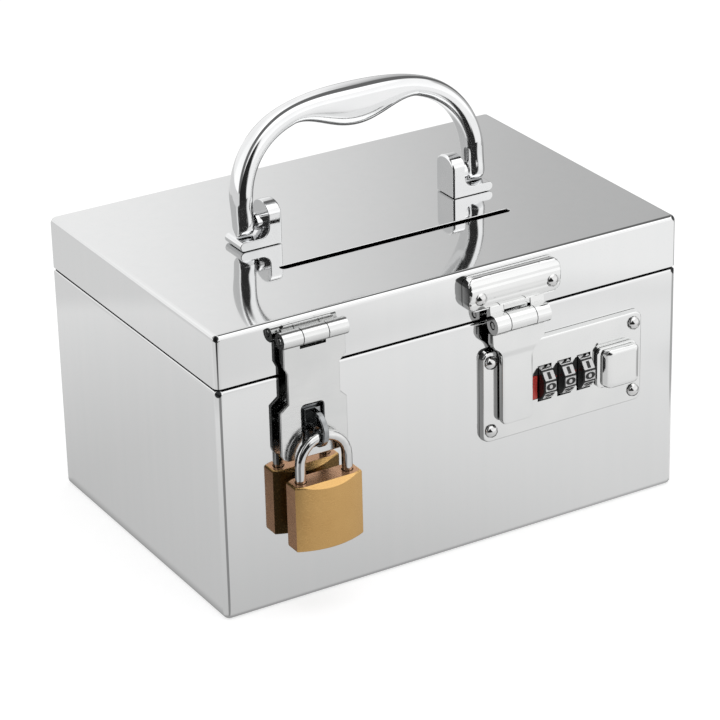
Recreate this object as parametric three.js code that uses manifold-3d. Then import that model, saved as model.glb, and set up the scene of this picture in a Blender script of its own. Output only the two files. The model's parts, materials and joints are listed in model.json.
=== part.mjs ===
// A polished steel lock box with a drop slot, a hasp with a padlock, and a latch with a three-dial lock.
// Millimetres, +Z up. X runs along the front, Y from the front to the back.
// The origin is the middle of the underside of the box.
import * as THREE from 'three';
import { mergeVertices } from 'three/addons/utils/BufferGeometryUtils.js';
import Module from 'manifold-3d';

const wasm = await Module();
wasm.setup();

// Box and lid. Heights on the front are given from the seam between them.
const boxWidth = 210;
const boxDepth = 140;
const boxHeight = 120;
const lidHeight = 22;
const seamZ = boxHeight - lidHeight;
const seamGap = 0.8;
const sheet = 1.0;
const edgeRadius = 2.2;
const cornerRadius = 2.6;
const rimHeight = 14;
const rimRise = 5.5;
const rimSheet = 0.8;
const rimJoggle = 1.0;

// Clearances
const seatGap = 0.2;
const runGap = 0.3;

// Drop slot in the lid
const slotLength = 105.5;
const slotWidth = 3.5;
const slotY = -27.5;

// Rear hinges
const hingeX = 62;
const hingeWidth = 34;
const hingeLeafHeight = 16;
const hingeLeaf = 1.2;
const hingeBarrelRadius = 2.6;
const hingePinRadius = 1.1;
const hingeRivetX = 11;

// Rivets
const rivetShank = 1.4;
const rivetTail = 1.9;
const rivetTailHeight = 0.8;
const bigRivetHead = 2.9;
const bigRivetHeight = 2;
const smallRivetHead = 2.2;
const smallRivetHeight = 1.0;

// Carrying handle
const handleLegX = 53.4;
const handleRise = 42;
const handleStraight = 9;
const handlePivotHeight = 8.9;
const handleLean = THREE.MathUtils.degToRad(6.5);
const handleLegHalf = 4.25;
const handleLegDepth = 5.5;
const handleWaistHalf = 4.2;
const gripHalfLength = 29;
const gripBelly = 8.2;
const gripDepth = 7.5;
const handleEyeRadius = 4.55;
const handleFootClear = 6.8;
const handleSides = 16;
const handleSteps = 40;
const handleEyeWidth = 8.5;

// Handle brackets
const earThickness = 5.8;
const earDepth = 12.8;
const earHeight = 17;
const earCrown = 4.4;
const footThickness = 3.8;
const footEndX = 58.6;
const bracketFillet = 4;
const bracketInnerX = 39.6;
const handlePinRadius = 1.5;
const spigotRadius = 2;
const spigotHead = 3.2;

// Hasp
const haspX = -65.8;
const haspWidth = 28.3;
const haspBarrelRadius = 3.4;
const haspBarrelZ = seamZ + 15.8;
const haspBarrelProud = 4.7;
const haspKnuckle = 10.9;
const haspLeaf = 0.8;
const haspLeafWidth = 22.5;
const haspLeafTop = seamZ + 19.6;
const haspLeafBottom = seamZ + 3;
const haspArm = 1.8;
const haspArmProud = 4.7;
const haspArmBottom = seamZ - 35;
const haspNotchDepth = 2.8;
const haspTopInset = 1.4;
const haspSkirt = 0.8;
const haspNotchTop = seamZ + 1.4;
const haspNotchBottom = seamZ - 11;
const haspSlotLeft = 5.8;
const haspSlotRight = 3.9;
const haspSlotTop = seamZ - 13;
const haspSlotBottom = seamZ - 31.4;
const haspPinRadius = 1.4;
const haspReliefDrop = 1.7;
const haspRivetX = 7;
const haspRivetZ = seamZ + 7.5;

// Staple
const stapleThickness = 2.5;
const stapleBottom = seamZ - 30.6;
const stapleTop = seamZ - 16;
const stapleTip = 13.2;
const stapleHole = 2.9;
const stapleHoleZ = seamZ - 25.2;
const stapleHoleRise = 0.8;
const staplePlate = 1.3;
const staplePlateWidth = 23;
const stapleFoot = 1.1;
const stapleRivetX = 8.6;

// Padlock
const padlockX = -65.0;
const padlockProud = 8.6;
const padlockWidth = 29.4;
const padlockHeight = 27.7;
const padlockDepth = 14;
const padlockBottom = seamZ - 70.2;
const padlockCrown = 3.6;
const padlockSlope = 1.9;
const padlockShelf = 0.9;
const padlockRounding = 0.8;
const padlockFacets = 14;
const shackleRadius = 10.25;
const shackleRod = 2.1;
const shackleTop = seamZ - 25.4;
const toeDepth = 8;
const heelDepth = 15;
const plugRadius = 3.6;
const plugDepth = 10;
const keyholeWidth = 1.2;

// Latch
const latchX = 24.8;
const latchBarrelX = 25.3;
const latchPlateX = 24.4;
const latchPlateWidth = 42.4;
const latchPlateBottom = seamZ + 6;
const latchPlateTop = seamZ + 20;
const latchPlateProud = 5.2;
const latchBand = 0.8;
const latchBandHalf = 12.4;
const latchLipGap = 0.6;
const latchRivetX = 16.5;
const latchRivetZ = seamZ + 11.6;
const latchBarrelRadius = 4;
const latchBarrelProud = 6.6;
const latchBarrelZ = seamZ - 0.4;
const latchBarrelWidth = 25;
const latchKnuckle = 12;
const latchPinRadius = 1.5;
const armProud = 6.5;
const armThickness = 3.4;
const armSwell = 0.7;
const armWideHalf = 12.3;
const armNarrowHalf = 7.3;
const armShoulderTop = seamZ - 10;
const armShoulderBottom = seamZ - 15.6;
const armBottom = seamZ - 45.2;
const armRounding = 1.2;
const tongueLeft = -4.4;
const tongueRight = 1.3;
const tongueBottom = seamZ - 40.5;
const tongueTop = seamZ - 36.5;
const tongueEnd = 0.9;

// Dial lock
const caseLeft = 10.6;
const caseRight = 86.8;
const caseBottom = seamZ - 53.1;
const caseTop = seamZ - 13.3;
const caseProud = 2.7;
const caseSkin = 1.6;
const caseCorner = 3.4;
const caseRivetLeft = 14.4;
const caseRivetRight = 82.3;
const caseRivetBottom = seamZ - 47.8;
const caseRivetTop = seamZ - 18.2;
const bossLeft = 18.5;
const bossRight = 78;
const bossBottom = seamZ - 44.3;
const bossTop = seamZ - 21.5;
const bossDepth = 1.1;
const bossWall = 1.4;
const dialCount = 3;
const dialX = 39.7;
const dialPitch = 9.3;
const dialZ = seamZ - 33.3;
const dialProud = 0.2;
const dialRadius = 7.8;
const dialWidth = 5.95;
const dialFaces = 10;
const dialGroove = 0.5;
const grooveSpread = 0.055;
const dialBevel = 0.5;
const axleRadius = 1.2;
const bearingWall = 1.7;
const bearingHalf = 5.5;
const bearingFoot = 1.6;
const indexLeft = 33.2;
const indexBottom = seamZ - 39.5;
const indexTop = seamZ - 29.5;
const indexDepth = 0.5;

// Slide button, catch, spring and inner cover
const buttonTravel = 3.2;
const buttonBaseLeft = 63.6;
const buttonBaseRight = 82.4;
const buttonFrontLeft = 67.3;
const buttonFrontRight = 81.8;
const buttonBottom = seamZ - 42;
const buttonTop = seamZ - 24.8;
const buttonProud = 8.3;
const stemLeft = 69;
const stemWidth = 3.4;
const stemBottom = seamZ - 37;
const stemTop = seamZ - 29;
const catchSheet = 1.6;
const catchBehind = 1.4;
const catchBarBottom = seamZ - 25.2;
const catchBarTop = seamZ - 22;
const noseWidth = 1.4;
const springRadius = 0.95;
const springWire = 0.25;
const springTurns = 13;
const springZ = seamZ - 43.4;
const springBehind = 4;
const springLeft = 33.6;
const trayDepth = 8.2;
const traySheet = 0.8;
const trayGap = 0.4;

const bodyTop = seamZ - seamGap / 2;
const lidBottom = seamZ + seamGap / 2;
const caseBase = seatGap;
const handlePivotZ = boxHeight + handlePivotHeight;
const innerFace = -sheet;

// Turning meshes into solids and back

function solid(geometry) {
  const plain = geometry.clone();
  plain.deleteAttribute('normal');
  plain.deleteAttribute('uv');
  const merged = mergeVertices(plain, 1e-4);
  const index = merged.index.array;
  const kept = [];
  for (let i = 0; i < index.length; i += 3) {
    const [a, b, c] = [index[i], index[i + 1], index[i + 2]];
    if (a !== b && b !== c && a !== c) kept.push(a, b, c);
  }
  const mesh = new wasm.Mesh({
    numProp: 3,
    vertProperties: new Float32Array(merged.attributes.position.array),
    triVerts: new Uint32Array(kept),
  });
  return new wasm.Manifold(mesh);
}

function toGeometry(body) {
  const mesh = body.getMesh();
  const geometry = new THREE.BufferGeometry();
  geometry.setAttribute('position', new THREE.BufferAttribute(mesh.vertProperties, 3));
  geometry.setIndex(new THREE.BufferAttribute(mesh.triVerts, 1));
  geometry.computeVertexNormals();
  return geometry;
}

function join(first, ...others) {
  return others.reduce((whole, other) => whole.add(other), first);
}

function cut(first, ...others) {
  return others.reduce((whole, other) => whole.subtract(other), first);
}

// Basic solids, each from its lowest to its highest corner or along an axis

function block(x0, x1, y0, y1, z0, z1) {
  const geometry = new THREE.BoxGeometry(x1 - x0, y1 - y0, z1 - z0);
  geometry.translate((x0 + x1) / 2, (y0 + y1) / 2, (z0 + z1) / 2);
  return solid(geometry);
}

function rodX(radius, x0, x1, y, z, sides = 20) {
  const geometry = new THREE.CylinderGeometry(radius, radius, x1 - x0, sides);
  geometry.rotateZ(Math.PI / 2);
  geometry.translate((x0 + x1) / 2, y, z);
  return solid(geometry);
}

function rodY(radius, x, y0, y1, z, sides = 20) {
  const geometry = new THREE.CylinderGeometry(radius, radius, y1 - y0, sides);
  geometry.translate(x, (y0 + y1) / 2, z);
  return solid(geometry);
}

function rodZ(radius, x, y, z0, z1, sides = 16) {
  const geometry = new THREE.CylinderGeometry(radius, radius, z1 - z0, sides);
  geometry.rotateX(Math.PI / 2);
  geometry.translate(x, y, (z0 + z1) / 2);
  return solid(geometry);
}

function roundedOutline(x0, x1, y0, y1, radius, steps = 4) {
  const points = [];
  const corners = [
    [x1 - radius, y0 + radius, -90],
    [x1 - radius, y1 - radius, 0],
    [x0 + radius, y1 - radius, 90],
    [x0 + radius, y0 + radius, 180],
  ];
  for (const [x, y, start] of corners) {
    for (let i = 0; i <= steps; i += 1) {
      const angle = THREE.MathUtils.degToRad(start + (90 * i) / steps);
      points.push(new THREE.Vector2(x + radius * Math.cos(angle), y + radius * Math.sin(angle)));
    }
  }
  return points;
}

// Closed skin over a stack of rings with equal numbers of points, with a fan at each end
function skin(rings) {
  const count = rings[0].length;
  const positions = rings.flat().flatMap((point) => [point.x, point.y, point.z]);
  const index = [];
  for (let r = 0; r + 1 < rings.length; r += 1) {
    for (let i = 0; i < count; i += 1) {
      const next = (i + 1) % count;
      const [a, b] = [r * count + i, r * count + next];
      const [c, d] = [a + count, b + count];
      index.push(a, b, d, a, d, c);
    }
  }
  const top = (rings.length - 1) * count;
  for (let i = 1; i + 1 < count; i += 1) {
    index.push(0, i + 1, i);
    index.push(top, top + i, top + i + 1);
  }
  const geometry = new THREE.BufferGeometry();
  geometry.setAttribute('position', new THREE.Float32BufferAttribute(positions, 3));
  geometry.setIndex(index);
  return solid(geometry);
}

// A rounded slab whose outline is drawn in by a given inset at each height
function slab(x0, x1, y0, y1, radius, levels, steps = 4) {
  const rings = levels.map(([z, inset]) => {
    const corner = Math.max(radius - inset, 0.2);
    const outline = roundedOutline(x0 + inset, x1 - inset, y0 + inset, y1 - inset, corner, steps);
    return outline.map((point) => new THREE.Vector3(point.x, point.y, z));
  });
  return skin(rings);
}

function roundLevels(z0, z1, radius, steps) {
  const levels = [[z0, 0]];
  for (let i = 0; i <= steps; i += 1) {
    const angle = (Math.PI / 2) * (i / steps);
    levels.push([z1 - radius + radius * Math.sin(angle), radius * (1 - Math.cos(angle))]);
  }
  return levels;
}

function extruded(shape, depth, bevel = 0, curveSegments = 6, bevelSegments = 1) {
  const geometry = new THREE.ExtrudeGeometry(shape, {
    depth: depth - 2 * bevel,
    bevelEnabled: bevel > 0,
    bevelThickness: bevel,
    bevelSize: bevel,
    bevelOffset: -bevel,
    bevelSegments,
    curveSegments,
  });
  geometry.translate(0, 0, bevel);
  return geometry;
}

// A rivet along +Z: domed head above z = 0, shank through the grip, peened tail below
function rivetGeometry(head, height, grip) {
  const profile = [new THREE.Vector2(0, -grip - rivetTailHeight)];
  profile.push(new THREE.Vector2(rivetTail * 0.75, -grip - rivetTailHeight));
  profile.push(new THREE.Vector2(rivetTail, -grip - seatGap));
  profile.push(new THREE.Vector2(rivetShank, -grip - seatGap));
  profile.push(new THREE.Vector2(rivetShank, seatGap));
  profile.push(new THREE.Vector2(head, seatGap));
  for (const share of [0.35, 0.7]) {
    const angle = (Math.PI / 2) * share;
    profile.push(new THREE.Vector2(head * Math.cos(angle), seatGap + height * Math.sin(angle)));
  }
  profile.push(new THREE.Vector2(0, seatGap + height));
  const geometry = new THREE.LatheGeometry(profile, 10);
  geometry.rotateX(Math.PI / 2);
  return geometry;
}

// Finishes

function finish(color, roughness, metalness) {
  return new THREE.MeshStandardMaterial({ color, roughness, metalness });
}

const mirrorSteel = finish('#d4d6d8', 0.08, 1);
const castChrome = finish('#e2e4e6', 0.1, 1);
const pinSteel = finish('#b8babc', 0.25, 1);
const brass = finish('#b48c4a', 0.35, 1);
const blackDial = finish('#1c1c1e', 0.4, 0);
const redInsert = finish('#b03030', 0.4, 0);
const innerSteel = finish('#9a9c9e', 0.4, 1);

const lockBox = new THREE.Group();
lockBox.name = 'lock_box';

// Fittings on the front are drawn flat: x along the front, y up, z outwards from its face
const front = new THREE.Group();
front.rotation.x = Math.PI / 2;
front.position.y = -boxDepth / 2;
lockBox.add(front);

// Fittings on the back are drawn the same way, facing backwards
const rear = new THREE.Group();
rear.rotation.set(Math.PI / 2, 0, Math.PI, 'ZXY');
rear.position.y = boxDepth / 2;
lockBox.add(rear);

function place(parent, name, body, material, position = [0, 0, 0]) {
  const mesh = new THREE.Mesh(body.isBufferGeometry ? body : toGeometry(body), material);
  mesh.name = name;
  mesh.position.set(...position);
  parent.add(mesh);
  return mesh;
}

// Holes through a wall at each rivet, drawn in the wall's own flat view
function rivetHoles(places, z0, z1) {
  return places.map(([x, y]) => rodZ(rivetShank + runGap, x, y, z0, z1, 12));
}

const caseRivets = [
  [caseRivetLeft, caseRivetBottom],
  [caseRivetLeft, caseRivetTop],
  [caseRivetRight, caseRivetBottom],
  [caseRivetRight, caseRivetTop],
];
const stapleZ = (stapleBottom + stapleTop) / 2;
const stapleRivets = [
  [haspX - stapleRivetX, stapleZ],
  [haspX + stapleRivetX, stapleZ],
];
const haspRivets = [
  [haspX - haspRivetX, haspRivetZ],
  [haspX + haspRivetX, haspRivetZ],
];
const latchRivets = [
  [latchX - latchRivetX, latchRivetZ],
  [latchX + latchRivetX, latchRivetZ],
];
const hingeCentres = [-hingeX, hingeX];
const hingeRivetDrop = hingeBarrelRadius + hingeLeafHeight * 0.55;

function hingeRivetsAt(centre, side) {
  const z = seamZ + side * hingeRivetDrop;
  return [
    [centre - hingeRivetX, z],
    [centre + hingeRivetX, z],
  ];
}

// Turns a solid that was drawn in the flat view of the front or the back into the frame of the box

function fromFront(body) {
  const geometry = toGeometry(body);
  geometry.rotateX(Math.PI / 2);
  geometry.translate(0, -boxDepth / 2, 0);
  return solid(geometry);
}

function fromRear(body) {
  const geometry = toGeometry(body);
  geometry.rotateX(Math.PI / 2);
  geometry.rotateZ(Math.PI);
  geometry.translate(0, boxDepth / 2, 0);
  return solid(geometry);
}

// Box body: a folded pan with rounded bottom edges

function pan(z0, z1, inset, radius) {
  const halfX = boxWidth / 2 - inset;
  const halfY = boxDepth / 2 - inset;
  const levels = roundLevels(-z1, -z0, radius, 4).map(([z, drawn]) => [-z, drawn]);
  levels.reverse();
  return slab(-halfX, halfX, -halfY, halfY, cornerRadius, levels);
}

function boxBody() {
  const shell = cut(pan(0, bodyTop, 0, edgeRadius), pan(sheet, bodyTop + 1, sheet, edgeRadius - sheet));
  const window = slab(bossLeft - trayGap, bossRight + trayGap, bossBottom - trayGap, bossTop + trayGap,
    1, [[-2, 0], [1, 0]]);
  const frontCuts = [window, ...rivetHoles([...caseRivets, ...stapleRivets], -2, 1)];
  const rearCuts = hingeCentres.flatMap((centre) => rivetHoles(hingeRivetsAt(centre, -1), -2, 1));
  return cut(shell, ...frontCuts.map(fromFront), ...rearCuts.map(fromRear));
}

// Inner rim: a joggled collar inside the top edge, which locates the lid
function boxRim() {
  const low = bodyTop + rimRise - rimHeight;
  const high = bodyTop + rimRise;
  const wall = sheet + seatGap;
  const collar = (extra, z0, z1) => {
    const inset = wall + extra;
    const half = [boxWidth / 2 - inset, boxDepth / 2 - inset];
    const levels = [[z0, 0], [bodyTop - 3, 0], [bodyTop - 1, rimJoggle], [z1, rimJoggle]];
    return slab(-half[0], half[0], -half[1], half[1], cornerRadius, levels);
  };
  return cut(collar(0, low, high), collar(rimSheet, low - 1, high + 1));
}

// Lid: a pan with rounded top edges, the drop slot and the holes for its fittings
function lidShell() {
  const halfX = boxWidth / 2;
  const halfY = boxDepth / 2;
  const outer = slab(-halfX, halfX, -halfY, halfY, cornerRadius,
    roundLevels(lidBottom, boxHeight, edgeRadius, 4));
  const inner = slab(sheet - halfX, halfX - sheet, sheet - halfY, halfY - sheet, cornerRadius,
    roundLevels(lidBottom - 1, boxHeight - sheet, edgeRadius - sheet, 4));
  const slot = slab(-slotLength / 2, slotLength / 2, slotY - slotWidth / 2, slotY + slotWidth / 2,
    slotWidth / 2 - 0.05, [[boxHeight - sheet - 1, 0], [boxHeight + 1, 0]]);
  const spigotHoles = [-1, 1].flatMap((side) => spigotPlaces.map((x) =>
    rodZ(spigotRadius + runGap, side * x, 0, boxHeight - sheet - 1, boxHeight + 1)));
  const frontCuts = rivetHoles([...haspRivets, ...latchRivets], -2, 1);
  const rearCuts = hingeCentres.flatMap((centre) => rivetHoles(hingeRivetsAt(centre, 1), -2, 1));
  return cut(outer, inner, slot, ...spigotHoles, ...frontCuts.map(fromFront), ...rearCuts.map(fromRear));
}

// Rear hinges, drawn flat: leaves against the wall, barrel over the seam

const hingeAxisProud = seatGap + hingeBarrelRadius;
const hingeKnuckle = hingeWidth / 3;

function hingeLeafBody(centre, side) {
  const half = hingeWidth / 2;
  const nearEdge = seamZ + side * (hingeBarrelRadius + runGap);
  const farEdge = seamZ + side * (hingeBarrelRadius + hingeLeafHeight);
  const [low, high] = [Math.min(nearEdge, farEdge), Math.max(nearEdge, farEdge)];
  const leaf = slab(centre - half, centre + half, low, high, 1.5,
    [[seatGap, 0], [seatGap + hingeLeaf, 0]]);
  const edge = hingeKnuckle / 2;
  const spans = side > 0
    ? [[-edge + runGap / 2, edge - runGap / 2]]
    : [[-half, -edge - runGap / 2], [edge + runGap / 2, half]];
  const knuckles = spans.flatMap(([a, b]) => {
    const [x0, x1] = [centre + a, centre + b];
    const [z0, z1] = [Math.min(seamZ, nearEdge + side * 0.6), Math.max(seamZ, nearEdge + side * 0.6)];
    return [
      block(x0, x1, z0, z1, seatGap, seatGap + hingeLeaf),
      rodX(hingeBarrelRadius, x0, x1, seamZ, hingeAxisProud, 16),
    ];
  });
  const bore = rodX(hingePinRadius + runGap, centre - half - 1, centre + half + 1,
    seamZ, hingeAxisProud, 12);
  return cut(join(leaf, ...knuckles), bore, ...rivetHoles(hingeRivetsAt(centre, side), -1, 3));
}

function hingePin(centre) {
  const half = hingeWidth / 2 + runGap;
  const shaft = rodX(hingePinRadius, centre - half, centre + half, seamZ, hingeAxisProud, 12);
  const headRadius = hingePinRadius * 1.6;
  const heads = [-1, 1].map((side) => {
    const inner = centre + side * half;
    const outer = inner + side * 0.8;
    return rodX(headRadius, Math.min(inner, outer), Math.max(inner, outer), seamZ, hingeAxisProud, 12);
  });
  return join(shaft, ...heads);
}

// Handle brackets: an arched ear with a filleted foot, and spigots peened under the lid

const spigotPlaces = [bracketInnerX + earThickness / 2, footEndX - 6];

function bracketBody() {
  const base = boxHeight + seatGap;
  const footTop = base + footThickness;
  const earTop = base + earHeight;
  const earOuter = bracketInnerX + earThickness;
  const profile = new THREE.Shape();
  profile.moveTo(bracketInnerX, base);
  profile.lineTo(footEndX - footThickness / 2, base);
  profile.absarc(footEndX - footThickness / 2, base + footThickness / 2, footThickness / 2,
    -Math.PI / 2, Math.PI / 2, false);
  profile.lineTo(earOuter + bracketFillet, footTop);
  profile.absarc(earOuter + bracketFillet, footTop + bracketFillet, bracketFillet,
    -Math.PI / 2, -Math.PI, true);
  profile.lineTo(earOuter, earTop);
  profile.lineTo(bracketInnerX, earTop);
  const sideways = extruded(profile, earDepth, 0, 5);
  sideways.rotateX(Math.PI / 2);
  sideways.translate(0, earDepth / 2, 0);
  const half = earDepth / 2;
  const arch = new THREE.Shape();
  arch.moveTo(half, 0);
  arch.lineTo(half, earHeight - earCrown);
  arch.absellipse(0, earHeight - earCrown, half, earCrown, 0, Math.PI, false, 0);
  arch.lineTo(-half, 0);
  const along = extruded(arch, footEndX - bracketInnerX + 2, 0.6, 8);
  along.rotateX(Math.PI / 2);
  along.rotateZ(Math.PI / 2);
  along.translate(bracketInnerX, 0, base);
  const boss = rodX(handlePinRadius + 2, earOuter - 1, eyeInner - runGap, 0, handlePivotZ);
  const pinBore = rodX(handlePinRadius + runGap, earOuter - 3.5, footEndX, 0, handlePivotZ, 12);
  const spigots = spigotPlaces.flatMap((x) => [
    rodZ(spigotRadius, x, 0, boxHeight - sheet - seatGap - 0.8, base + 0.5),
    rodZ(spigotHead, x, 0, boxHeight - sheet - seatGap - 1.2, boxHeight - sheet - seatGap),
  ]);
  const body = solid(sideways).intersect(solid(along));
  return join(cut(join(body, boss), pinBore), ...spigots);
}

const eyeInner = handleLegX - handleEyeWidth / 2;
const eyeOuter = handleLegX + handleEyeWidth / 2;

// Handle: one sweep along a flattened arch, thick and bellied at the grip, with rounded eyes at the feet

function handleCentre(turn) {
  const across = Math.cos(turn);
  const x = handleLegX * Math.sign(across) * Math.abs(across) ** (2 / 3.3);
  const rise = handleStraight + (handleRise - handleStraight) * Math.sin(turn) ** (2 / 1.9);
  return new THREE.Vector2(x, rise);
}

// Points at equal steps along the arch
function handleArch() {
  const fine = 2000;
  const dense = Array.from({ length: fine + 1 }, (unused, i) => handleCentre((Math.PI * i) / fine));
  const reached = [0];
  for (let i = 1; i <= fine; i += 1) reached.push(reached[i - 1] + dense[i].distanceTo(dense[i - 1]));
  return Array.from({ length: handleSteps + 1 }, (unused, i) => {
    const goal = (reached[fine] * i) / handleSteps;
    return dense[reached.findIndex((length) => length >= goal - 1e-6)];
  });
}

// A rounded-box ring across the handle: outHalf and inHalf along the outward direction, depth along Y
function handleRing(centre, outward, outHalf, inHalf, depth, squareness) {
  const ring = [];
  for (let i = 0; i < handleSides; i += 1) {
    const angle = (2 * Math.PI * (i + 0.5)) / handleSides;
    const lift = Math.sign(Math.cos(angle)) * Math.abs(Math.cos(angle)) ** (2 / squareness);
    const side = Math.sign(Math.sin(angle)) * Math.abs(Math.sin(angle)) ** (2 / squareness);
    const reach = lift * (lift > 0 ? outHalf : inHalf);
    ring.push(new THREE.Vector3(centre.x + outward.x * reach, depth * side, centre.y + outward.y * reach));
  }
  return ring;
}

function handleSection(centre, outward) {
  const reach = Math.abs(centre.x);
  const wave = reach < gripHalfLength ? (1 + Math.cos((Math.PI * reach) / gripHalfLength)) / 2 : 0;
  const swell = wave ** 0.75;
  const leg = Math.max(0, (reach - gripHalfLength) / (handleLegX - gripHalfLength));
  const half = handleWaistHalf + (handleLegHalf - handleWaistHalf) * leg;
  const spread = THREE.MathUtils.smoothstep(centre.y, handleFootClear, handleFootClear + 5);
  const legDepth = handleEyeRadius + (handleLegDepth - handleEyeRadius) * spread;
  const depth = legDepth + (gripDepth - handleLegDepth) * swell;
  return handleRing(centre, outward, half + 0.6 * swell, half + gripBelly * swell, depth, 2.9 - 0.6 * swell);
}

function handleGrip() {
  const foot = [-0.98, -0.85, -0.6, -0.3, 0].map((share) => {
    const depth = handleEyeRadius * Math.sqrt(1 - share * share);
    const half = handleLegHalf - 0.9 * Math.max(0, -share - 0.3);
    return [share * handleEyeRadius, half, depth];
  });
  const footRing = (side, [rise, half, depth]) => handleRing(
    new THREE.Vector2(side * handleLegX, rise), new THREE.Vector2(side, 0), half, half, depth, 2.9);
  const rings = foot.map((level) => footRing(1, level));
  const arch = [new THREE.Vector2(handleLegX, handleFootClear * 0.9), ...handleArch(),
    new THREE.Vector2(-handleLegX, handleFootClear * 0.9)];
  arch.forEach((centre, i) => {
    const before = arch[Math.max(i - 1, 0)];
    const after = arch[Math.min(i + 1, arch.length - 1)];
    const along = after.clone().sub(before).normalize();
    rings.push(handleSection(centre, new THREE.Vector2(along.y, -along.x)));
  });
  rings.push(...foot.slice().reverse().map((level) => footRing(-1, level)));
  const bores = [-1, 1].map((side) => {
    const ends = [side * (eyeInner - 1), side * (eyeOuter - 1.4)];
    return rodX(handlePinRadius + runGap, Math.min(...ends), Math.max(...ends), 0, 0, 12);
  });
  return cut(skin(rings), ...bores);
}

// Hasp: a leaf on the lid, and an arm that hangs over the staple

function haspLidLeaf() {
  const half = haspLeafWidth / 2;
  const plate = slab(haspX - half, haspX + half, haspLeafBottom, haspLeafTop, 1.5,
    [[seatGap, 0], [seatGap + haspLeaf, 0]]);
  const edge = haspKnuckle / 2 - runGap / 2;
  const barrel = rodX(haspBarrelRadius, haspX - edge, haspX + edge, haspBarrelZ, haspBarrelProud);
  const web = block(haspX - edge, haspX + edge, haspBarrelZ - 1.6, haspBarrelZ + 1.6,
    seatGap + haspLeaf / 2, haspBarrelProud - haspPinRadius - 1);
  const bore = rodX(haspPinRadius + runGap, haspX - edge - 1, haspX + edge + 1,
    haspBarrelZ, haspBarrelProud, 12);
  return cut(join(plate, barrel, web), bore, ...rivetHoles(haspRivets, -1, 3));
}

function haspArmBody() {
  const half = haspWidth / 2;
  const waist = half - haspNotchDepth;
  const chamfer = haspNotchDepth;
  const corner = 4;
  const top = haspBarrelZ - haspBarrelRadius + 0.6;
  const outline = new THREE.Shape();
  outline.moveTo(haspX + half, top);
  outline.lineTo(haspX - half + haspTopInset, top);
  outline.lineTo(haspX - half + haspTopInset, haspNotchTop + chamfer);
  outline.lineTo(haspX - waist, haspNotchTop);
  outline.lineTo(haspX - waist, haspNotchBottom);
  outline.lineTo(haspX - half - haspSkirt, haspNotchBottom - chamfer);
  outline.absarc(haspX - half - haspSkirt + corner, haspArmBottom + corner, corner,
    Math.PI, 1.5 * Math.PI, false);
  outline.absarc(haspX + half - corner, haspArmBottom + corner, corner, 1.5 * Math.PI, 2 * Math.PI, false);
  outline.lineTo(haspX + half, haspNotchBottom - chamfer);
  outline.lineTo(haspX + waist, haspNotchBottom);
  outline.lineTo(haspX + waist, haspNotchTop);
  outline.lineTo(haspX + half, haspNotchTop + chamfer);
  outline.holes.push(new THREE.Path(roundedOutline(haspX - haspSlotLeft, haspX + haspSlotRight,
    haspSlotBottom, haspSlotTop, 1.5, 3)));
  const plate = extruded(outline, haspArm, 0.3);
  plate.translate(0, 0, haspArmProud - haspArm);
  const edge = haspKnuckle / 2 + runGap / 2;
  const knuckles = [[-half, -edge], [edge, half]].flatMap(([a, b]) => [
    rodX(haspBarrelRadius, haspX + a, haspX + b, haspBarrelZ, haspBarrelProud),
    block(haspX + a, haspX + b, top - 0.5, haspBarrelZ, haspArmProud - haspArm, haspArmProud),
  ]);
  const relief = block(haspX - edge, haspX + edge, haspBarrelZ - haspBarrelRadius - haspReliefDrop,
    haspBarrelZ + 5, 0, haspBarrelProud + haspBarrelRadius);
  const bore = rodX(haspPinRadius + runGap, haspX - half - 1, haspX + half + 1,
    haspBarrelZ, haspBarrelProud, 12);
  return cut(join(solid(plate), ...knuckles), relief, bore);
}

// Staple: a riveted base plate, and the eye that stands in the slot of the arm

function stapleBasePlate() {
  const half = staplePlateWidth / 2;
  const plate = slab(haspX - half, haspX + half, stapleBottom - 1, stapleTop + 1, 2,
    [[seatGap, 0], [seatGap + staplePlate, 0]]);
  return cut(plate, ...rivetHoles(stapleRivets, -1, 3));
}

function stapleEye() {
  const radius = (stapleTop - stapleBottom) / 2;
  const base = seatGap + staplePlate + runGap;
  const outline = new THREE.Shape();
  outline.moveTo(base, stapleBottom);
  outline.lineTo(stapleTip - radius, stapleBottom);
  outline.absarc(stapleTip - radius, stapleZ, radius, -Math.PI / 2, Math.PI / 2, false);
  outline.lineTo(base, stapleTop);
  const hole = new THREE.Path();
  hole.absarc(padlockProud, stapleHoleZ, stapleHole, Math.PI, 2 * Math.PI, false);
  hole.absarc(padlockProud, stapleHoleZ + stapleHoleRise, stapleHole, 0, Math.PI, false);
  outline.holes.push(hole);
  const upright = new THREE.Matrix4().makeBasis(
    new THREE.Vector3(0, 0, 1), new THREE.Vector3(0, 1, 0), new THREE.Vector3(-1, 0, 0));
  const eye = extruded(outline, stapleThickness, 0.35, 8);
  eye.applyMatrix4(upright);
  eye.translate(haspX + stapleThickness / 2, 0, 0);
  const foot = block(haspX - 3.4, haspX + 3.4, stapleBottom, stapleTop, base, base + stapleFoot);
  return join(solid(eye), foot);
}

// Padlock: brass body whose crowned faces slope at the top, steel shackle, key plug in the underside

function padlockOutline() {
  const half = padlockWidth / 2;
  const deep = padlockDepth / 2;
  const edge = deep - padlockCrown;
  const points = [];
  for (const side of [-1, 1]) {
    for (let i = 0; i <= padlockFacets; i += 1) {
      const share = 1 - (2 * i) / padlockFacets;
      points.push([side * share * half, side * (edge + padlockCrown * (1 - share * share))]);
    }
  }
  return points.map(([x, y]) => new THREE.Vector2(x, y));
}

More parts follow.
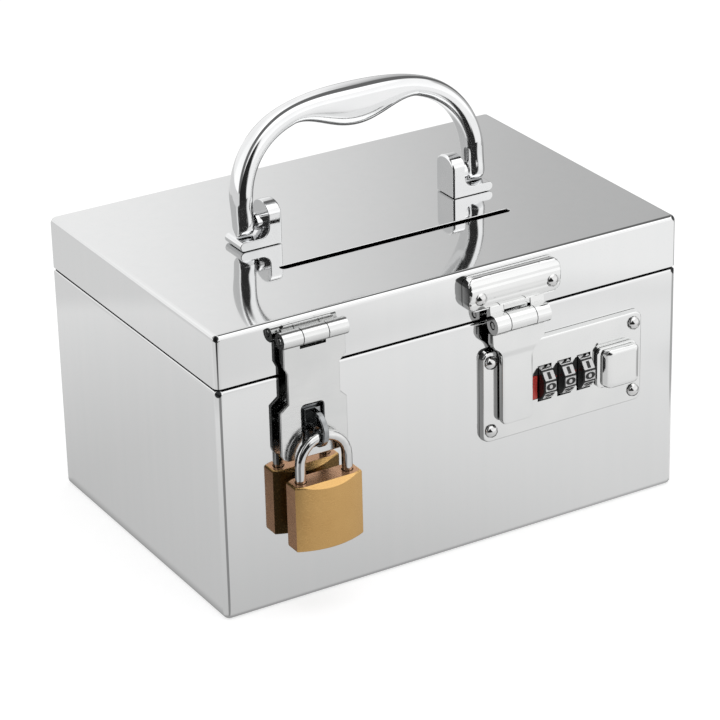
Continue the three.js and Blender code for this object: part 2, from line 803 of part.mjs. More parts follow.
function padlockBody() {
  const body = extruded(new THREE.Shape(padlockOutline()), padlockHeight, padlockRounding, 1, 2);
  body.rotateX(-Math.PI / 2);
  body.translate(padlockX, padlockBottom, padlockProud);
  const top = padlockBottom + padlockHeight;
  const bores = [[-1, heelDepth], [1, toeDepth]].map(([side, depth]) =>
    rodY(shackleRod + runGap, padlockX + side * shackleRadius, top - depth - 1, top + 1, padlockProud, 14));
  const plugBore = rodY(plugRadius + runGap, padlockX, padlockBottom - 1, padlockBottom + plugDepth + runGap,
    padlockProud, 20);
  const shelf = padlockDepth / 2 - padlockCrown + padlockShelf;
  const side = new THREE.Shape();
  side.moveTo(-shelf, top);
  side.lineTo(-padlockDepth / 2, top - padlockSlope);
  side.lineTo(-padlockDepth / 2, padlockBottom);
  side.lineTo(padlockDepth / 2, padlockBottom);
  side.lineTo(padlockDepth / 2, top - padlockSlope);
  side.lineTo(shelf, top);
  const slopes = extruded(side, padlockWidth + 2, 0, 1);
  slopes.rotateY(Math.PI / 2);
  slopes.translate(padlockX - padlockWidth / 2 - 1, 0, padlockProud);
  return cut(solid(body).intersect(solid(slopes)), ...bores, plugBore);
}

function padlockShackle() {
  const top = padlockBottom + padlockHeight;
  const archZ = shackleTop - shackleRadius;
  const path = [];
  path.push([shackleRadius, top - toeDepth, 0]);
  const steps = 14;
  for (let i = 0; i <= steps; i += 1) {
    const turn = (Math.PI * i) / steps;
    path.push([shackleRadius * Math.cos(turn), archZ + shackleRadius * Math.sin(turn), turn]);
  }
  path.push([-shackleRadius, top - heelDepth, Math.PI]);
  const sides = 12;
  const rings = path.map(([x, y, turn]) => {
    const ring = [];
    for (let i = 0; i < sides; i += 1) {
      const angle = (2 * Math.PI * i) / sides;
      const out = shackleRod * Math.cos(angle);
      ring.push(new THREE.Vector3(padlockX + x + out * Math.cos(turn), y + out * Math.sin(turn),
        padlockProud + shackleRod * Math.sin(angle)));
    }
    return ring;
  });
  return skin(rings.map((ring) => ring.reverse()));
}

function padlockPlug() {
  const plug = rodY(plugRadius, padlockX, padlockBottom - 0.3, padlockBottom + plugDepth, padlockProud, 20);
  const keyhole = block(padlockX - plugRadius * 0.7, padlockX + plugRadius * 0.7,
    padlockBottom - 1, padlockBottom + plugDepth - 2,
    padlockProud - keyholeWidth / 2, padlockProud + keyholeWidth / 2);
  return cut(plug, keyhole);
}

// Latch: a cast plate on the lid with two knuckles, and the swinging arm

function latchLidPlate() {
  const half = latchPlateWidth / 2;
  const base = slab(latchPlateX - half, latchPlateX + half, latchPlateBottom, latchPlateTop, 3.2,
    [[seatGap, 0], ...roundLevels(seatGap + 1, latchPlateProud, 1.2, 3)]);
  const band = slab(latchX - latchBandHalf, latchX + latchBandHalf, latchPlateBottom, latchPlateTop, 1.6,
    [[seatGap, 0], [latchPlateProud - 0.3, 0.1], [latchPlateProud + latchBand * 0.6, 1],
      [latchPlateProud + latchBand, 2.6]]);
  const lip = block(latchBarrelX - latchKnuckle / 2, latchBarrelX + latchKnuckle / 2,
    latchBarrelZ + latchBarrelRadius + latchLipGap, latchPlateBottom + 1,
    seatGap + 0.5, latchPlateProud - 0.4);
  const barrelHalf = latchBarrelWidth / 2;
  const edge = latchKnuckle / 2 + runGap / 2;
  const knuckles = [[-barrelHalf, -edge], [edge, barrelHalf]].flatMap(([a, b]) => [
    rodX(latchBarrelRadius, latchBarrelX + a, latchBarrelX + b, latchBarrelZ, latchBarrelProud),
    block(latchBarrelX + a, latchBarrelX + b, latchBarrelZ, latchPlateBottom + 2,
      latchBarrelProud - latchBarrelRadius, latchPlateProud),
  ]);
  const bore = rodX(latchPinRadius + runGap, latchBarrelX - barrelHalf - 1, latchBarrelX + barrelHalf + 1,
    latchBarrelZ, latchBarrelProud, 12);
  return cut(join(base, band, lip, ...knuckles), bore, ...rivetHoles(latchRivets, -1, 8));
}

function latchArmBody() {
  const top = latchBarrelZ - latchBarrelRadius + 1;
  const shoulder = armShoulderTop - armShoulderBottom;
  const corner = 2.4;
  const outline = new THREE.Shape();
  outline.moveTo(latchX + armWideHalf, top);
  outline.lineTo(latchX - armWideHalf, top);
  outline.lineTo(latchX - armWideHalf, armShoulderTop + 2);
  outline.quadraticCurveTo(latchX - armWideHalf, armShoulderTop,
    latchX - armWideHalf + 1.6, armShoulderTop - 1.2);
  outline.quadraticCurveTo(latchX - armNarrowHalf, armShoulderBottom + shoulder * 0.35,
    latchX - armNarrowHalf, armShoulderBottom - 2);
  outline.lineTo(latchX - armNarrowHalf, armShoulderBottom - 4);
  outline.absarc(latchX - armNarrowHalf + corner, armBottom + corner, corner, Math.PI, 1.5 * Math.PI, false);
  outline.absarc(latchX + armNarrowHalf - corner, armBottom + corner, corner,
    1.5 * Math.PI, 2 * Math.PI, false);
  outline.lineTo(latchX + armNarrowHalf, armShoulderBottom - 4);
  outline.lineTo(latchX + armNarrowHalf, armShoulderBottom - 2);
  outline.quadraticCurveTo(latchX + armNarrowHalf, armShoulderBottom + shoulder * 0.35,
    latchX + armWideHalf - 1.6, armShoulderTop - 1.2);
  outline.quadraticCurveTo(latchX + armWideHalf, armShoulderTop, latchX + armWideHalf, armShoulderTop + 2);
  const plate = extruded(outline, armThickness, armRounding, 5, 2);
  plate.translate(0, 0, armProud - armThickness);
  const points = plate.attributes.position;
  for (let i = 0; i < points.count; i += 1) {
    const rise = THREE.MathUtils.smoothstep(points.getY(i), armShoulderBottom - 4, armShoulderTop);
    if (points.getZ(i) > armProud - armThickness / 2) points.setZ(i, points.getZ(i) + armSwell * rise);
  }
  const edge = latchKnuckle / 2 - runGap / 2;
  const clearZ = latchBarrelZ - latchBarrelRadius - runGap;
  const sideRelief = [-1, 1].map((side) => {
    const ends = [latchBarrelX + side * edge, latchBarrelX + side * (armWideHalf + 2)];
    return block(Math.min(...ends), Math.max(...ends), clearZ, latchBarrelZ + 3, 0, 12);
  });
  const neck = block(latchBarrelX - edge, latchBarrelX + edge, clearZ - 1, latchBarrelZ,
    armProud - armThickness + 0.2, armProud);
  const barrel = rodX(latchBarrelRadius, latchBarrelX - edge, latchBarrelX + edge,
    latchBarrelZ, latchBarrelProud);
  const bore = rodX(latchPinRadius + runGap, latchBarrelX - edge - 1, latchBarrelX + edge + 1,
    latchBarrelZ, latchBarrelProud, 12);
  const tongue = slab(latchX + tongueLeft, latchX + tongueRight, tongueBottom, tongueTop, 0.6,
    [[tongueEnd, 0.4], [tongueEnd + 0.5, 0], [armProud - armThickness + 0.6, 0]]);
  return cut(join(cut(solid(plate), ...sideRelief), neck, barrel, tongue), bore);
}

// Lock case: a cast face plate with a boss through the wall, windows for dials, tongue and button

const dialCentres = Array.from({ length: dialCount }, (unused, i) => dialX + i * dialPitch);
const dialHalf = dialWidth / 2;
const windowRadius = dialRadius + runGap + 0.1;
const bearingLeft = dialX - dialHalf - runGap - bearingWall;
const bearingRight = dialCentres[dialCount - 1] + dialHalf + runGap;

function lockCase() {
  const plate = slab(caseLeft, caseRight, caseBottom, caseTop, caseCorner,
    [[caseBase, 0], [caseBase + 1.4, 0.25], ...roundLevels(caseBase + 1.8, caseProud, 0.9, 3)
      .slice(1).map(([z, inset]) => [z, inset + 0.35])]);
  const boss = slab(bossLeft, bossRight, bossBottom, bossTop, 1, [[-bossDepth, 0], [caseBase + 0.5, 0]]);
  const hollow = slab(bossLeft + bossWall, bossRight - bossWall, bossBottom + bossWall, bossTop - bossWall,
    0.8, [[-bossDepth - 1, 0], [caseProud - caseSkin, 0]]);
  const bearings = [bearingLeft, bearingRight].map((x) => block(x, x + bearingWall,
    dialZ - bearingHalf, dialZ + bearingHalf,
    dialProud - axleRadius - bearingFoot, caseProud - caseSkin + 0.4));
  const axleBore = rodX(axleRadius + runGap, bearingLeft - 1, bearingRight + bearingWall + 1,
    dialZ, dialProud, 16);
  const windows = dialCentres.map((x) => rodX(windowRadius, x - dialHalf - runGap, x + dialHalf + runGap,
    dialZ, dialProud, 36));
  const tongueWindow = slab(latchX + tongueLeft - 0.8,
    latchX + tongueRight + noseWidth + 2 * runGap + buttonTravel,
    tongueBottom - 1.2, tongueTop + 13, 0.8, [[-1, 0], [caseProud + 1, 0]], 2);
  const indexPocket = block(indexLeft - seatGap, bearingLeft + bearingWall + 0.2,
    indexBottom - seatGap, indexTop + seatGap, caseProud - indexDepth - seatGap, caseProud + 1);
  const buttonSlot = slab(stemLeft - runGap, stemLeft + stemWidth + buttonTravel + runGap,
    stemBottom - runGap, stemTop + runGap, 0.6, [[-1, 0], [caseProud + 1, 0]], 2);
  const hollowed = cut(join(plate, boss), hollow);
  return cut(join(hollowed, ...bearings), axleBore, ...windows, tongueWindow, indexPocket, buttonSlot,
    ...rivetHoles(caseRivets, -1, 5));
}

// Red index strip beside the first dial
function indexStrip() {
  return slab(indexLeft, bearingLeft + bearingWall - seatGap, indexBottom, indexTop, 0.3,
    [[caseProud - indexDepth, 0], [caseProud, 0]], 2);
}

// Dial: ten faces with a groove between neighbours and bevelled flanks
function dialBody() {
  const outline = [];
  for (let i = 0; i < dialFaces; i += 1) {
    const corner = (i * 2 * Math.PI) / dialFaces;
    outline.push([corner - grooveSpread, dialRadius * Math.cos(Math.PI / dialFaces - grooveSpread * 0.5)]);
    outline.push([corner, dialRadius - dialGroove]);
    outline.push([corner + grooveSpread, dialRadius * Math.cos(Math.PI / dialFaces - grooveSpread * 0.5)]);
  }
  const levels = [[-dialHalf, dialBevel], [dialBevel - dialHalf, 0], [dialHalf - dialBevel, 0],
    [dialHalf, dialBevel]];
  const rings = levels.map(([x, inset]) => outline.map(([angle, radius]) =>
    new THREE.Vector3(x, (radius - inset) * Math.cos(angle), (radius - inset) * Math.sin(angle))));
  const bore = rodX(axleRadius + runGap, -dialWidth, dialWidth, 0, 0, 16);
  return cut(skin(rings), bore);
}

function dialAxle() {
  return rodX(axleRadius, bearingLeft + 0.2, bearingRight + bearingWall - 0.2, dialZ, dialProud, 16);
}

// Slide button: a tapered cap on a stem that passes through the case
function slideButton() {
  const base = caseProud + runGap;
  const levels = [
    [base, 0, 0.3],
    [base + 0.4, 0, 0],
    [buttonProud - 1.3, 0.85, 0.3],
    [buttonProud - 0.7, 1, 0.5],
    [buttonProud - 0.2, 1, 1],
    [buttonProud, 1, 1.7],
  ];
  const rings = levels.map(([z, drift, inset]) => {
    const x0 = THREE.MathUtils.lerp(buttonBaseLeft, buttonFrontLeft, drift) + inset;
    const x1 = THREE.MathUtils.lerp(buttonBaseRight, buttonFrontRight, drift) - inset;
    const outline = roundedOutline(x0, x1, buttonBottom + inset, buttonTop - inset, 2.4, 4);
    return outline.map((point) => new THREE.Vector3(point.x, point.y, z));
  });
  const stem = block(stemLeft, stemLeft + stemWidth, stemBottom, stemTop,
    runGap - catchBehind, base + 0.5);
  return join(skin(rings), stem);
}

// Catch: a steel bar above the dials, with a tab behind the stem and a nose beside the tongue
function lockCatch() {
  const [z0, z1] = [-catchBehind - catchSheet, -catchBehind];
  const noseLeft = latchX + tongueRight + runGap;
  const right = stemLeft + stemWidth + 0.8;
  const bar = block(noseLeft - 1.6, right, catchBarBottom, catchBarTop, z0, z1);
  const stemTab = block(stemLeft - 1.3, right, springZ - springRadius - 0.4, catchBarTop, z0, z1);
  const noseTab = block(noseLeft - 1.6, noseLeft + noseWidth, tongueBottom + 0.4, catchBarTop, z0, z1);
  const nose = block(noseLeft, noseLeft + noseWidth, tongueBottom + 0.4, tongueTop,
    z1 - 0.2, tongueEnd + 1.2);
  const springLug = block(stemLeft - 1.3, stemLeft - 0.3, springZ - springRadius - 0.4,
    springZ + springRadius + 0.6, -springBehind - springRadius, z0 + 0.2);
  return join(bar, stemTab, noseTab, nose, springLug);
}

// Return spring: a close helix between the post on the cover and the lug of the catch
class Helix extends THREE.Curve {
  getPoint(share, target = new THREE.Vector3()) {
    const turn = 2 * Math.PI * springTurns * share;
    const x = springLeft + springWire + share * (stemLeft - 1.3 - runGap - 2 * springWire - springLeft);
    return target.set(x, springZ + springRadius * Math.cos(turn),
      -springBehind + springRadius * Math.sin(turn));
  }
}

function returnSpring() {
  const steps = springTurns * 7;
  const sides = 4;
  const helix = new Helix();
  const rings = [];
  for (let i = 0; i <= steps; i += 1) {
    const share = i / steps;
    const centre = helix.getPoint(share);
    const turn = 2 * Math.PI * springTurns * share;
    const ring = [];
    for (let k = 0; k < sides; k += 1) {
      const angle = (2 * Math.PI * k) / sides;
      const out = springWire * Math.cos(angle);
      ring.push(new THREE.Vector3(centre.x - springWire * Math.sin(angle),
        centre.y + out * Math.cos(turn), centre.z + out * Math.sin(turn)));
    }
    rings.push(ring);
  }
  return skin(rings);
}

// Inner cover: a pan behind the mechanism, flanged against the inside of the wall
function lockBackCover() {
  const flangeTop = innerFace - seatGap;
  const wall = traySheet;
  const flange = slab(caseLeft, caseRight, caseBottom, caseTop, caseCorner,
    [[flangeTop - wall, 0], [flangeTop, 0]]);
  const [x0, x1] = [bossLeft - trayGap, bossRight + trayGap];
  const [y0, y1] = [springZ - springRadius - 1, catchBarTop + 0.6];
  const tray = slab(x0 - wall, x1 + wall, y0 - wall, y1 + wall, 1.6,
    [[-trayDepth - wall, 0.6], [-trayDepth, 0], [flangeTop - wall / 2, 0]]);
  const hollow = slab(x0, x1, y0, y1, 1, [[-trayDepth, 0], [1, 0]]);
  const post = block(springLeft - 1.6, springLeft - runGap, y0 - 0.2, springZ + springRadius + 0.5,
    -trayDepth - 0.2, springRadius - springBehind);
  return cut(join(cut(join(flange, tray), hollow), post), ...rivetHoles(caseRivets, -3, 1));
}

// Assembly

place(lockBox, 'box_body', boxBody(), mirrorSteel);
place(lockBox, 'box_rim', boxRim(), mirrorSteel);
place(lockBox, 'lid_shell', lidShell(), mirrorSteel);

const sideNames = ['right', 'left'];
hingeCentres.forEach((centre, i) => {
  const name = sideNames[i];
  place(rear, `hinge_body_leaf_${name}`, hingeLeafBody(centre, -1), mirrorSteel);
  place(rear, `hinge_lid_leaf_${name}`, hingeLeafBody(centre, 1), mirrorSteel);
  place(rear, `hinge_pin_${name}`, hingePin(centre), pinSteel);
  const grip = hingeLeaf + seatGap + sheet;
  [-1, 1].forEach((side) => hingeRivetsAt(centre, side).forEach(([x, z], k) => {
    const level = side > 0 ? 'lid' : 'body';
    place(rear, `hinge_rivet_${level}_${name}_${k + 1}`,
      rivetGeometry(smallRivetHead, smallRivetHeight, grip), pinSteel, [x, z, seatGap + hingeLeaf]);
  }));
});

const swing = new THREE.Group();
swing.position.z = handlePivotZ;
swing.rotation.x = -handleLean;
lockBox.add(swing);
place(swing, 'handle_grip', handleGrip(), castChrome);
const bracket = toGeometry(bracketBody());
const mirrored = bracket.clone().applyMatrix4(new THREE.Matrix4().makeRotationZ(Math.PI));
place(lockBox, 'handle_bracket_right', bracket, castChrome);
place(lockBox, 'handle_bracket_left', mirrored, castChrome);
const pinInner = bracketInnerX + earThickness - 3.2;
const pinOuter = eyeOuter - 1.7;
place(lockBox, 'handle_pin_right', rodX(handlePinRadius, pinInner, pinOuter, 0, handlePivotZ, 12), pinSteel);
place(lockBox, 'handle_pin_left', rodX(handlePinRadius, -pinOuter, -pinInner, 0, handlePivotZ, 12), pinSteel);

place(front, 'hasp_lid_leaf', haspLidLeaf(), mirrorSteel);
place(front, 'hasp_arm', haspArmBody(), mirrorSteel);
place(front, 'hasp_pin', rodX(haspPinRadius, haspX - haspWidth / 2 - 0.3, haspX + haspWidth / 2 + 0.3,
  haspBarrelZ, haspBarrelProud, 12), pinSteel);
haspRivets.forEach(([x, z], i) => place(front, `hasp_rivet_${i + 1}`,
  rivetGeometry(smallRivetHead, smallRivetHeight, haspLeaf + seatGap + sheet), pinSteel,
  [x, z, seatGap + haspLeaf]));
place(front, 'staple_base_plate', stapleBasePlate(), mirrorSteel);
place(front, 'staple_eye', stapleEye(), castChrome);
stapleRivets.forEach(([x, z], i) => place(front, `staple_rivet_${i + 1}`,
  rivetGeometry(smallRivetHead, smallRivetHeight, staplePlate + seatGap + sheet), pinSteel,
  [x, z, seatGap + staplePlate]));

place(front, 'padlock_body', padlockBody(), brass);
place(front, 'padlock_shackle', padlockShackle(), pinSteel);
place(front, 'padlock_plug', padlockPlug(), brass);

place(front, 'latch_lid_plate', latchLidPlate(), castChrome);
place(front, 'latch_arm', latchArmBody(), castChrome);
place(front, 'latch_pin', rodX(latchPinRadius, latchBarrelX - latchBarrelWidth / 2 + 0.2,
  latchBarrelX + latchBarrelWidth / 2 - 0.2, latchBarrelZ, latchBarrelProud, 12), pinSteel);
latchRivets.forEach(([x, z], i) => place(front, `latch_rivet_${i + 1}`,
  rivetGeometry(bigRivetHead, bigRivetHeight, latchPlateProud + sheet), castChrome,
  [x, z, latchPlateProud]));

place(front, 'lock_case', lockCase(), castChrome);
caseRivets.forEach(([x, z], i) => place(front, `lock_rivet_${i + 1}`,
  rivetGeometry(bigRivetHead, bigRivetHeight, caseProud + sheet + seatGap + traySheet), castChrome,
  [x, z, caseProud]));
place(front, 'index_strip', indexStrip(), redInsert);
dialCentres.forEach((x, i) => place(front, `dial_${i + 1}`, toGeometry(dialBody()), blackDial,
  [x, dialZ, dialProud]));
place(front, 'dial_axle', dialAxle(), innerSteel);
place(front, 'slide_button', slideButton(), castChrome);
place(front, 'lock_catch', lockCatch(), innerSteel);
place(front, 'return_spring', returnSpring(), innerSteel);
place(front, 'lock_back_cover', lockBackCover(), innerSteel);

export default lockBox;
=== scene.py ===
# %% [markdown]
# # A polished steel lock box, dressed for its picture
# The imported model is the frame: every solid is already in its place and rides on its own moving body.
# What follows gives each of them its finish and its finer edges, and sets up the studio round the box.
# Lengths are written in millimetres, as a maker would, and turned to metres by one constant.

# %% Load the frame
import json
from math import cos, pi, radians, sin

import bmesh
import bpy
from mathutils import Matrix, Vector

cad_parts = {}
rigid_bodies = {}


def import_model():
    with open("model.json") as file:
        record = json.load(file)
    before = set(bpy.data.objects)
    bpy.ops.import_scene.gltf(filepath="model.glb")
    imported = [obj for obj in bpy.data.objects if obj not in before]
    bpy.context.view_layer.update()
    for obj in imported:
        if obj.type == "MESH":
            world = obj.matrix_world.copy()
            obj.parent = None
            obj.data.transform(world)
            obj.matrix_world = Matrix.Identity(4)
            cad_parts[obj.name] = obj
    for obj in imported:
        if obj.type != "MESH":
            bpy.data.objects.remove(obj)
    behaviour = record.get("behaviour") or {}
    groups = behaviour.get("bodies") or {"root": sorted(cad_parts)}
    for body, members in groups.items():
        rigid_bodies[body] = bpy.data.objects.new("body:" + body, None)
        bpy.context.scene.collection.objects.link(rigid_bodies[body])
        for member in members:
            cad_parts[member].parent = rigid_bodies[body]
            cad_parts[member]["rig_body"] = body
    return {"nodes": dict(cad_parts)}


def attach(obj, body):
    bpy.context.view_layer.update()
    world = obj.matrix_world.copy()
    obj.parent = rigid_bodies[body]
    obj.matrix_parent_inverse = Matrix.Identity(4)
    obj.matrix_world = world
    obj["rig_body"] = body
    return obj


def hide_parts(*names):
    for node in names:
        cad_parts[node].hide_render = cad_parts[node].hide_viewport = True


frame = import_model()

MM = 0.001
HALF_WIDTH, HALF_DEPTH = 105, 70
FRONT = -HALF_DEPTH
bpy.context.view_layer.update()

# %% [markdown]
# ## Colours
# Colours are chosen on a screen, so they are written as sRGB hex values.
# Shaders count light, so one function turns each value to linear.


# %% Colour helper
def linear(hex_colour):
    """An sRGB hex colour as the linear RGBA that a shader takes."""
    parts = [int(hex_colour[i:i + 2], 16) / 255 for i in (1, 3, 5)]
    return tuple(c / 12.92 if c <= 0.04045 else ((c + 0.055) / 1.055) ** 2.4 for c in parts) + (1.0,)


print("mid grey", [round(c, 3) for c in linear("#808080")])

# %% [markdown]
# ## Nodes
# A material is a small graph. One helper adds a node, sets its own options, and fills or links its
# inputs, so that each material below reads as a list of steps. Another opens an empty material.


# %% Node helper
def add(tree, kind, inputs=None, **options):
    """Adds one node. options are its own settings; inputs maps a socket to a value or to what feeds it."""
    made = tree.nodes.new(kind)
    for name, value in options.items():
        setattr(made, name, value)
    for socket, value in (inputs or {}).items():
        if isinstance(value, bpy.types.NodeSocket):
            tree.links.new(value, made.inputs[socket])
        else:
            made.inputs[socket].default_value = value
    return made


def blank(name):
    """A new material without nodes, and its tree."""
    made = bpy.data.materials.new(name)
    made.use_nodes = True
    made.node_tree.nodes.clear()
    return made, made.node_tree


print("helpers:", add.__name__, blank.__name__)

# %% [markdown]
# Most of what is painted below goes from one level to another as something else changes, such as the
# height in the room or a spot of noise. Such a blend takes a smooth step for each thing that changes,
# their product, and a mix. With two or more steps it paints a patch with soft sides.


# %% Blend helper
def between(tree, start, end, *steps):
    """Goes from start to end, both numbers or both colours, as every step is passed.

    A step is a value and two marks: at the first it counts nothing, and at the second in full.
    A bare value counts as it is.
    """
    share = 1.0
    for step in steps:
        if isinstance(step, tuple):
            value, nothing, full = step
            step = add(tree, "ShaderNodeMapRange", {"Value": value, "From Min": nothing, "From Max": full},
                       interpolation_type="SMOOTHSTEP").outputs[0]
        share = add(tree, "ShaderNodeMath", {0: share, 1: step}, operation="MULTIPLY").outputs[0]
    if isinstance(end, tuple):
        return add(tree, "ShaderNodeMix", {"Factor": share, 6: start, 7: end}, data_type="RGBA").outputs[2]
    return add(tree, "ShaderNodeMix", {"Factor": share, 2: start, 3: end}).outputs[0]


print("helper:", between.__name__)

# %% [markdown]
# ## Camera
# The picture was taken from the front left and a little above, with a long lens, so that the far edges
# hardly converge. The angles below were worked out from the corners of the box.
# The camera could be aimed with a constraint, but writing its three axes keeps the small roll exact.

# %% Camera
AZIMUTH, ELEVATION, ROLL = radians(-30.188), radians(25.213), radians(-1.447)
TARGET = Vector((0, 0, 60)) * MM
DISTANCE, SIDEWAYS, UPWARDS = 1291.6 * MM, -1.801 * MM, -3.413 * MM
LENS = 158.135

back = Vector((sin(AZIMUTH) * cos(ELEVATION), -cos(AZIMUTH) * cos(ELEVATION), sin(ELEVATION)))
level = Vector((0, 0, 1)).cross(back).normalized()
upright = back.cross(level)
right = level * cos(ROLL) + upright * sin(ROLL)
up = upright * cos(ROLL) - level * sin(ROLL)
eye = TARGET + back * DISTANCE + right * SIDEWAYS + up * UPWARDS

camera = bpy.data.objects.new("camera", bpy.data.cameras.new("camera"))
bpy.context.scene.collection.objects.link(camera)
camera.matrix_world = Matrix((right, up, back)).transposed().to_4x4()
camera.location = eye
camera.data.lens = LENS
camera.data.sensor_width = 36
camera.data.clip_start = 0.05
camera.data.clip_end = 50
bpy.context.scene.camera = camera
bpy.context.scene.view_settings.view_transform = "Standard"
print("camera at", [round(c, 3) for c in eye])

# %% [markdown]
# ## Studio walls
# A mirror has hardly any colour of its own: it shows the room. Such boxes are photographed inside a
# white tent, with a grey wall behind to shade the lid and a bright ceiling. Panels could be built for
# all of that, but they would stand in the way of other views, so the world is painted by direction.
# First come the directions, and how far each ray of light reaches along them.

# %% World directions
ALONG_X, ALONG_Y, UP = (1, 0, 0), (0, 1, 0), (0, 0, 1)
TOWARDS_LENS = (-0.503, -0.864, 0)
BEHIND = (0.503, 0.864, 0)
LEFT_AND_BEHIND = (-0.503, 0.864, 0)
TO_THE_RIGHT = (0.864, -0.503, 0)
ACROSS_SEAM, SEAM_PLACE = (-0.453, 0.886, -0.103), 0.09

world = bpy.data.worlds.new("white tent")
bpy.context.scene.world = world
world.use_nodes = True
sky = world.node_tree
sky.nodes.clear()
ray = add(sky, "ShaderNodeTexCoord").outputs["Generated"]
height, behind, left_behind, rightwards, lensward, across_seam = [
    add(sky, "ShaderNodeVectorMath", {0: ray, 1: way}, operation="DOT_PRODUCT").outputs["Value"]
    for way in (UP, BEHIND, LEFT_AND_BEHIND, TO_THE_RIGHT, TOWARDS_LENS, ACROSS_SEAM)]
print("world directions done")

# %% [markdown]
# The tent's seam, a dark band that runs up the left and over the top, draws the dark streak along every
# rounded piece. The opening for the lens is nearly black. It is narrower the higher it reaches, and it
# makes the dark spots on corners and rivets and the dark flanks that face the lens.

# %% Tent
WALL_LOW, WALL_HIGH, CEILING, SEAM, OPENING = 1.2, 1.1, 1.5, 0.15, 0.02
GREY_LEFT, GREY_RIGHT = 1.0, 0.54

walls = between(sky, WALL_LOW, WALL_HIGH, (height, 0.0, 0.7))
grey_wall = between(sky, GREY_LEFT, GREY_RIGHT, (rightwards, -0.10, 0.085))
walls = between(sky, walls, grey_wall, (behind, 0.2, 0.5), (height, 0.6, 0.52))
walls = between(sky, walls, CEILING, (height, 0.72, 0.82))
off_seam = add(sky, "ShaderNodeMath", {0: across_seam, 1: SEAM_PLACE}, operation="SUBTRACT").outputs[0]
off_seam = add(sky, "ShaderNodeMath", {0: off_seam}, operation="ABSOLUTE").outputs[0]
walls = between(sky, walls, SEAM, (off_seam, 0.3, 0.18))
aside = add(sky, "ShaderNodeMath", {0: rightwards}, operation="ABSOLUTE").outputs[0]
above = add(sky, "ShaderNodeMath", {0: height, 1: 0.0}, operation="MAXIMUM").outputs[0]
aside = add(sky, "ShaderNodeMath", {0: above, 1: 0.75, 2: aside}, operation="MULTIPLY_ADD").outputs[0]
walls = between(sky, walls, OPENING, (aside, 0.64, 0.52), (height, 0.7, 0.6), (behind, -0.2, -0.3))
print("tent nodes", len(sky.nodes))

# %% [markdown]
# Light that the metal has mirrored twice has passed a narrow gap, where less of the room is seen: the
# lens side is nearly black there, and the left rear is grey. Only mirror rays see the painted tent. The
# camera sees plain white, and matt pieces get an even light.

# %% World light
MATT_LIGHT, TWICE_LENSWARD, TWICE_BEHIND = 0.62, 0.03, 0.62

path = add(sky, "ShaderNodeLightPath").outputs
twice = path["Glossy Depth"], 1.2, 1.8
walls = between(sky, walls, TWICE_LENSWARD, twice, (lensward, 0.45, 0.65))
walls = between(sky, walls, TWICE_BEHIND, twice, (left_behind, 0.5, 0.7))
light = between(sky, MATT_LIGHT, walls, path["Is Glossy Ray"])
direct = add(sky, "ShaderNodeMath", {0: path["Is Camera Ray"], 1: path["Is Transmission Ray"]},
             operation="MAXIMUM").outputs[0]
light = between(sky, light, 1.0, direct)
glow = add(sky, "ShaderNodeBackground", {"Color": (1, 1, 1, 1), "Strength": light})
add(sky, "ShaderNodeOutputWorld", {"Surface": glow.outputs[0]})
print("world nodes", len(sky.nodes))

# %% [markdown]
# ## Floor
# The floor is a sheet of white paper as bright as the background, and keeps a soft shadow under the box.
# It is one large square. What the metal mirrors of it depends on the place, so the places come first: the
# gap to the box, and ways from its middle and from its near corner.

# %% Floor sheet
REACH = 4.0
floor_mesh = bpy.data.meshes.new("studio_floor")
floor_mesh.from_pydata([(-REACH, -REACH, 0), (REACH, -REACH, 0), (REACH, REACH, 0), (-REACH, REACH, 0)],
                       [], [(0, 1, 2, 3)])
floor = bpy.data.objects.new("studio_floor", floor_mesh)
bpy.context.scene.collection.objects.link(floor)
print("floor", 2 * REACH, "m wide")

# %% Places on the floor
paper, sheet = blank("matt white paper sweep")
spot = add(sheet, "ShaderNodeTexCoord").outputs["Object"]
out = add(sheet, "ShaderNodeVectorMath", {0: spot}, operation="ABSOLUTE").outputs[0]
out = add(sheet, "ShaderNodeVectorMath", {0: out, 1: (HALF_WIDTH * MM, HALF_DEPTH * MM, 0)},
          operation="SUBTRACT").outputs[0]
out = add(sheet, "ShaderNodeVectorMath", {0: out, 1: (0, 0, 0)}, operation="MAXIMUM").outputs[0]
gap = add(sheet, "ShaderNodeVectorMath", {0: out}, operation="LENGTH").outputs["Value"]
from_corner = add(sheet, "ShaderNodeVectorMath", {0: spot, 1: (-HALF_WIDTH * MM, -HALF_DEPTH * MM, 0)},
                  operation="SUBTRACT").outputs[0]
from_corner = add(sheet, "ShaderNodeVectorMath", {0: from_corner}, operation="NORMALIZE").outputs[0]
heading = add(sheet, "ShaderNodeVectorMath", {0: spot}, operation="NORMALIZE").outputs[0]
across, deep, forward, off_corner, ahead, to_side = [
    add(sheet, "ShaderNodeVectorMath", {0: place, 1: way}, operation="DOT_PRODUCT").outputs["Value"]
    for place, way in ((spot, ALONG_X), (spot, ALONG_Y), (spot, TOWARDS_LENS), (from_corner, TOWARDS_LENS),
                       (heading, TOWARDS_LENS), (heading, TO_THE_RIGHT))]
print("floor places", len(sheet.nodes), "nodes")

# %% [markdown]
# The front and the sides of the box mirror the floor, and there it darkens towards the box, because the
# box stands in its own light. That gives the upright faces their fade from pale above to grey below. In
# the last millimetres before the box it is darker still, which draws the line along its lower edge.
# Beyond 0.3 m from the middle of the box towards the lens, and on the right, the paper is painted dark for
# mirror rays: painted shade. A wedge from the near corner towards the lens is painted dark too. The handle's
# legs mirror that dark edge as one broad streak, and rounded right-hand edges as a grey line.

# %% What the metal sees of the floor
# Mirror rays see painted shade on the paper: towards the lens, on the right, and in a wedge from the near
# corner.
CORNER_WEDGE, PAINTED_SHADE_AHEAD, PAINTED_SHADE_RIGHT = 0.28, 0.02, 0.45

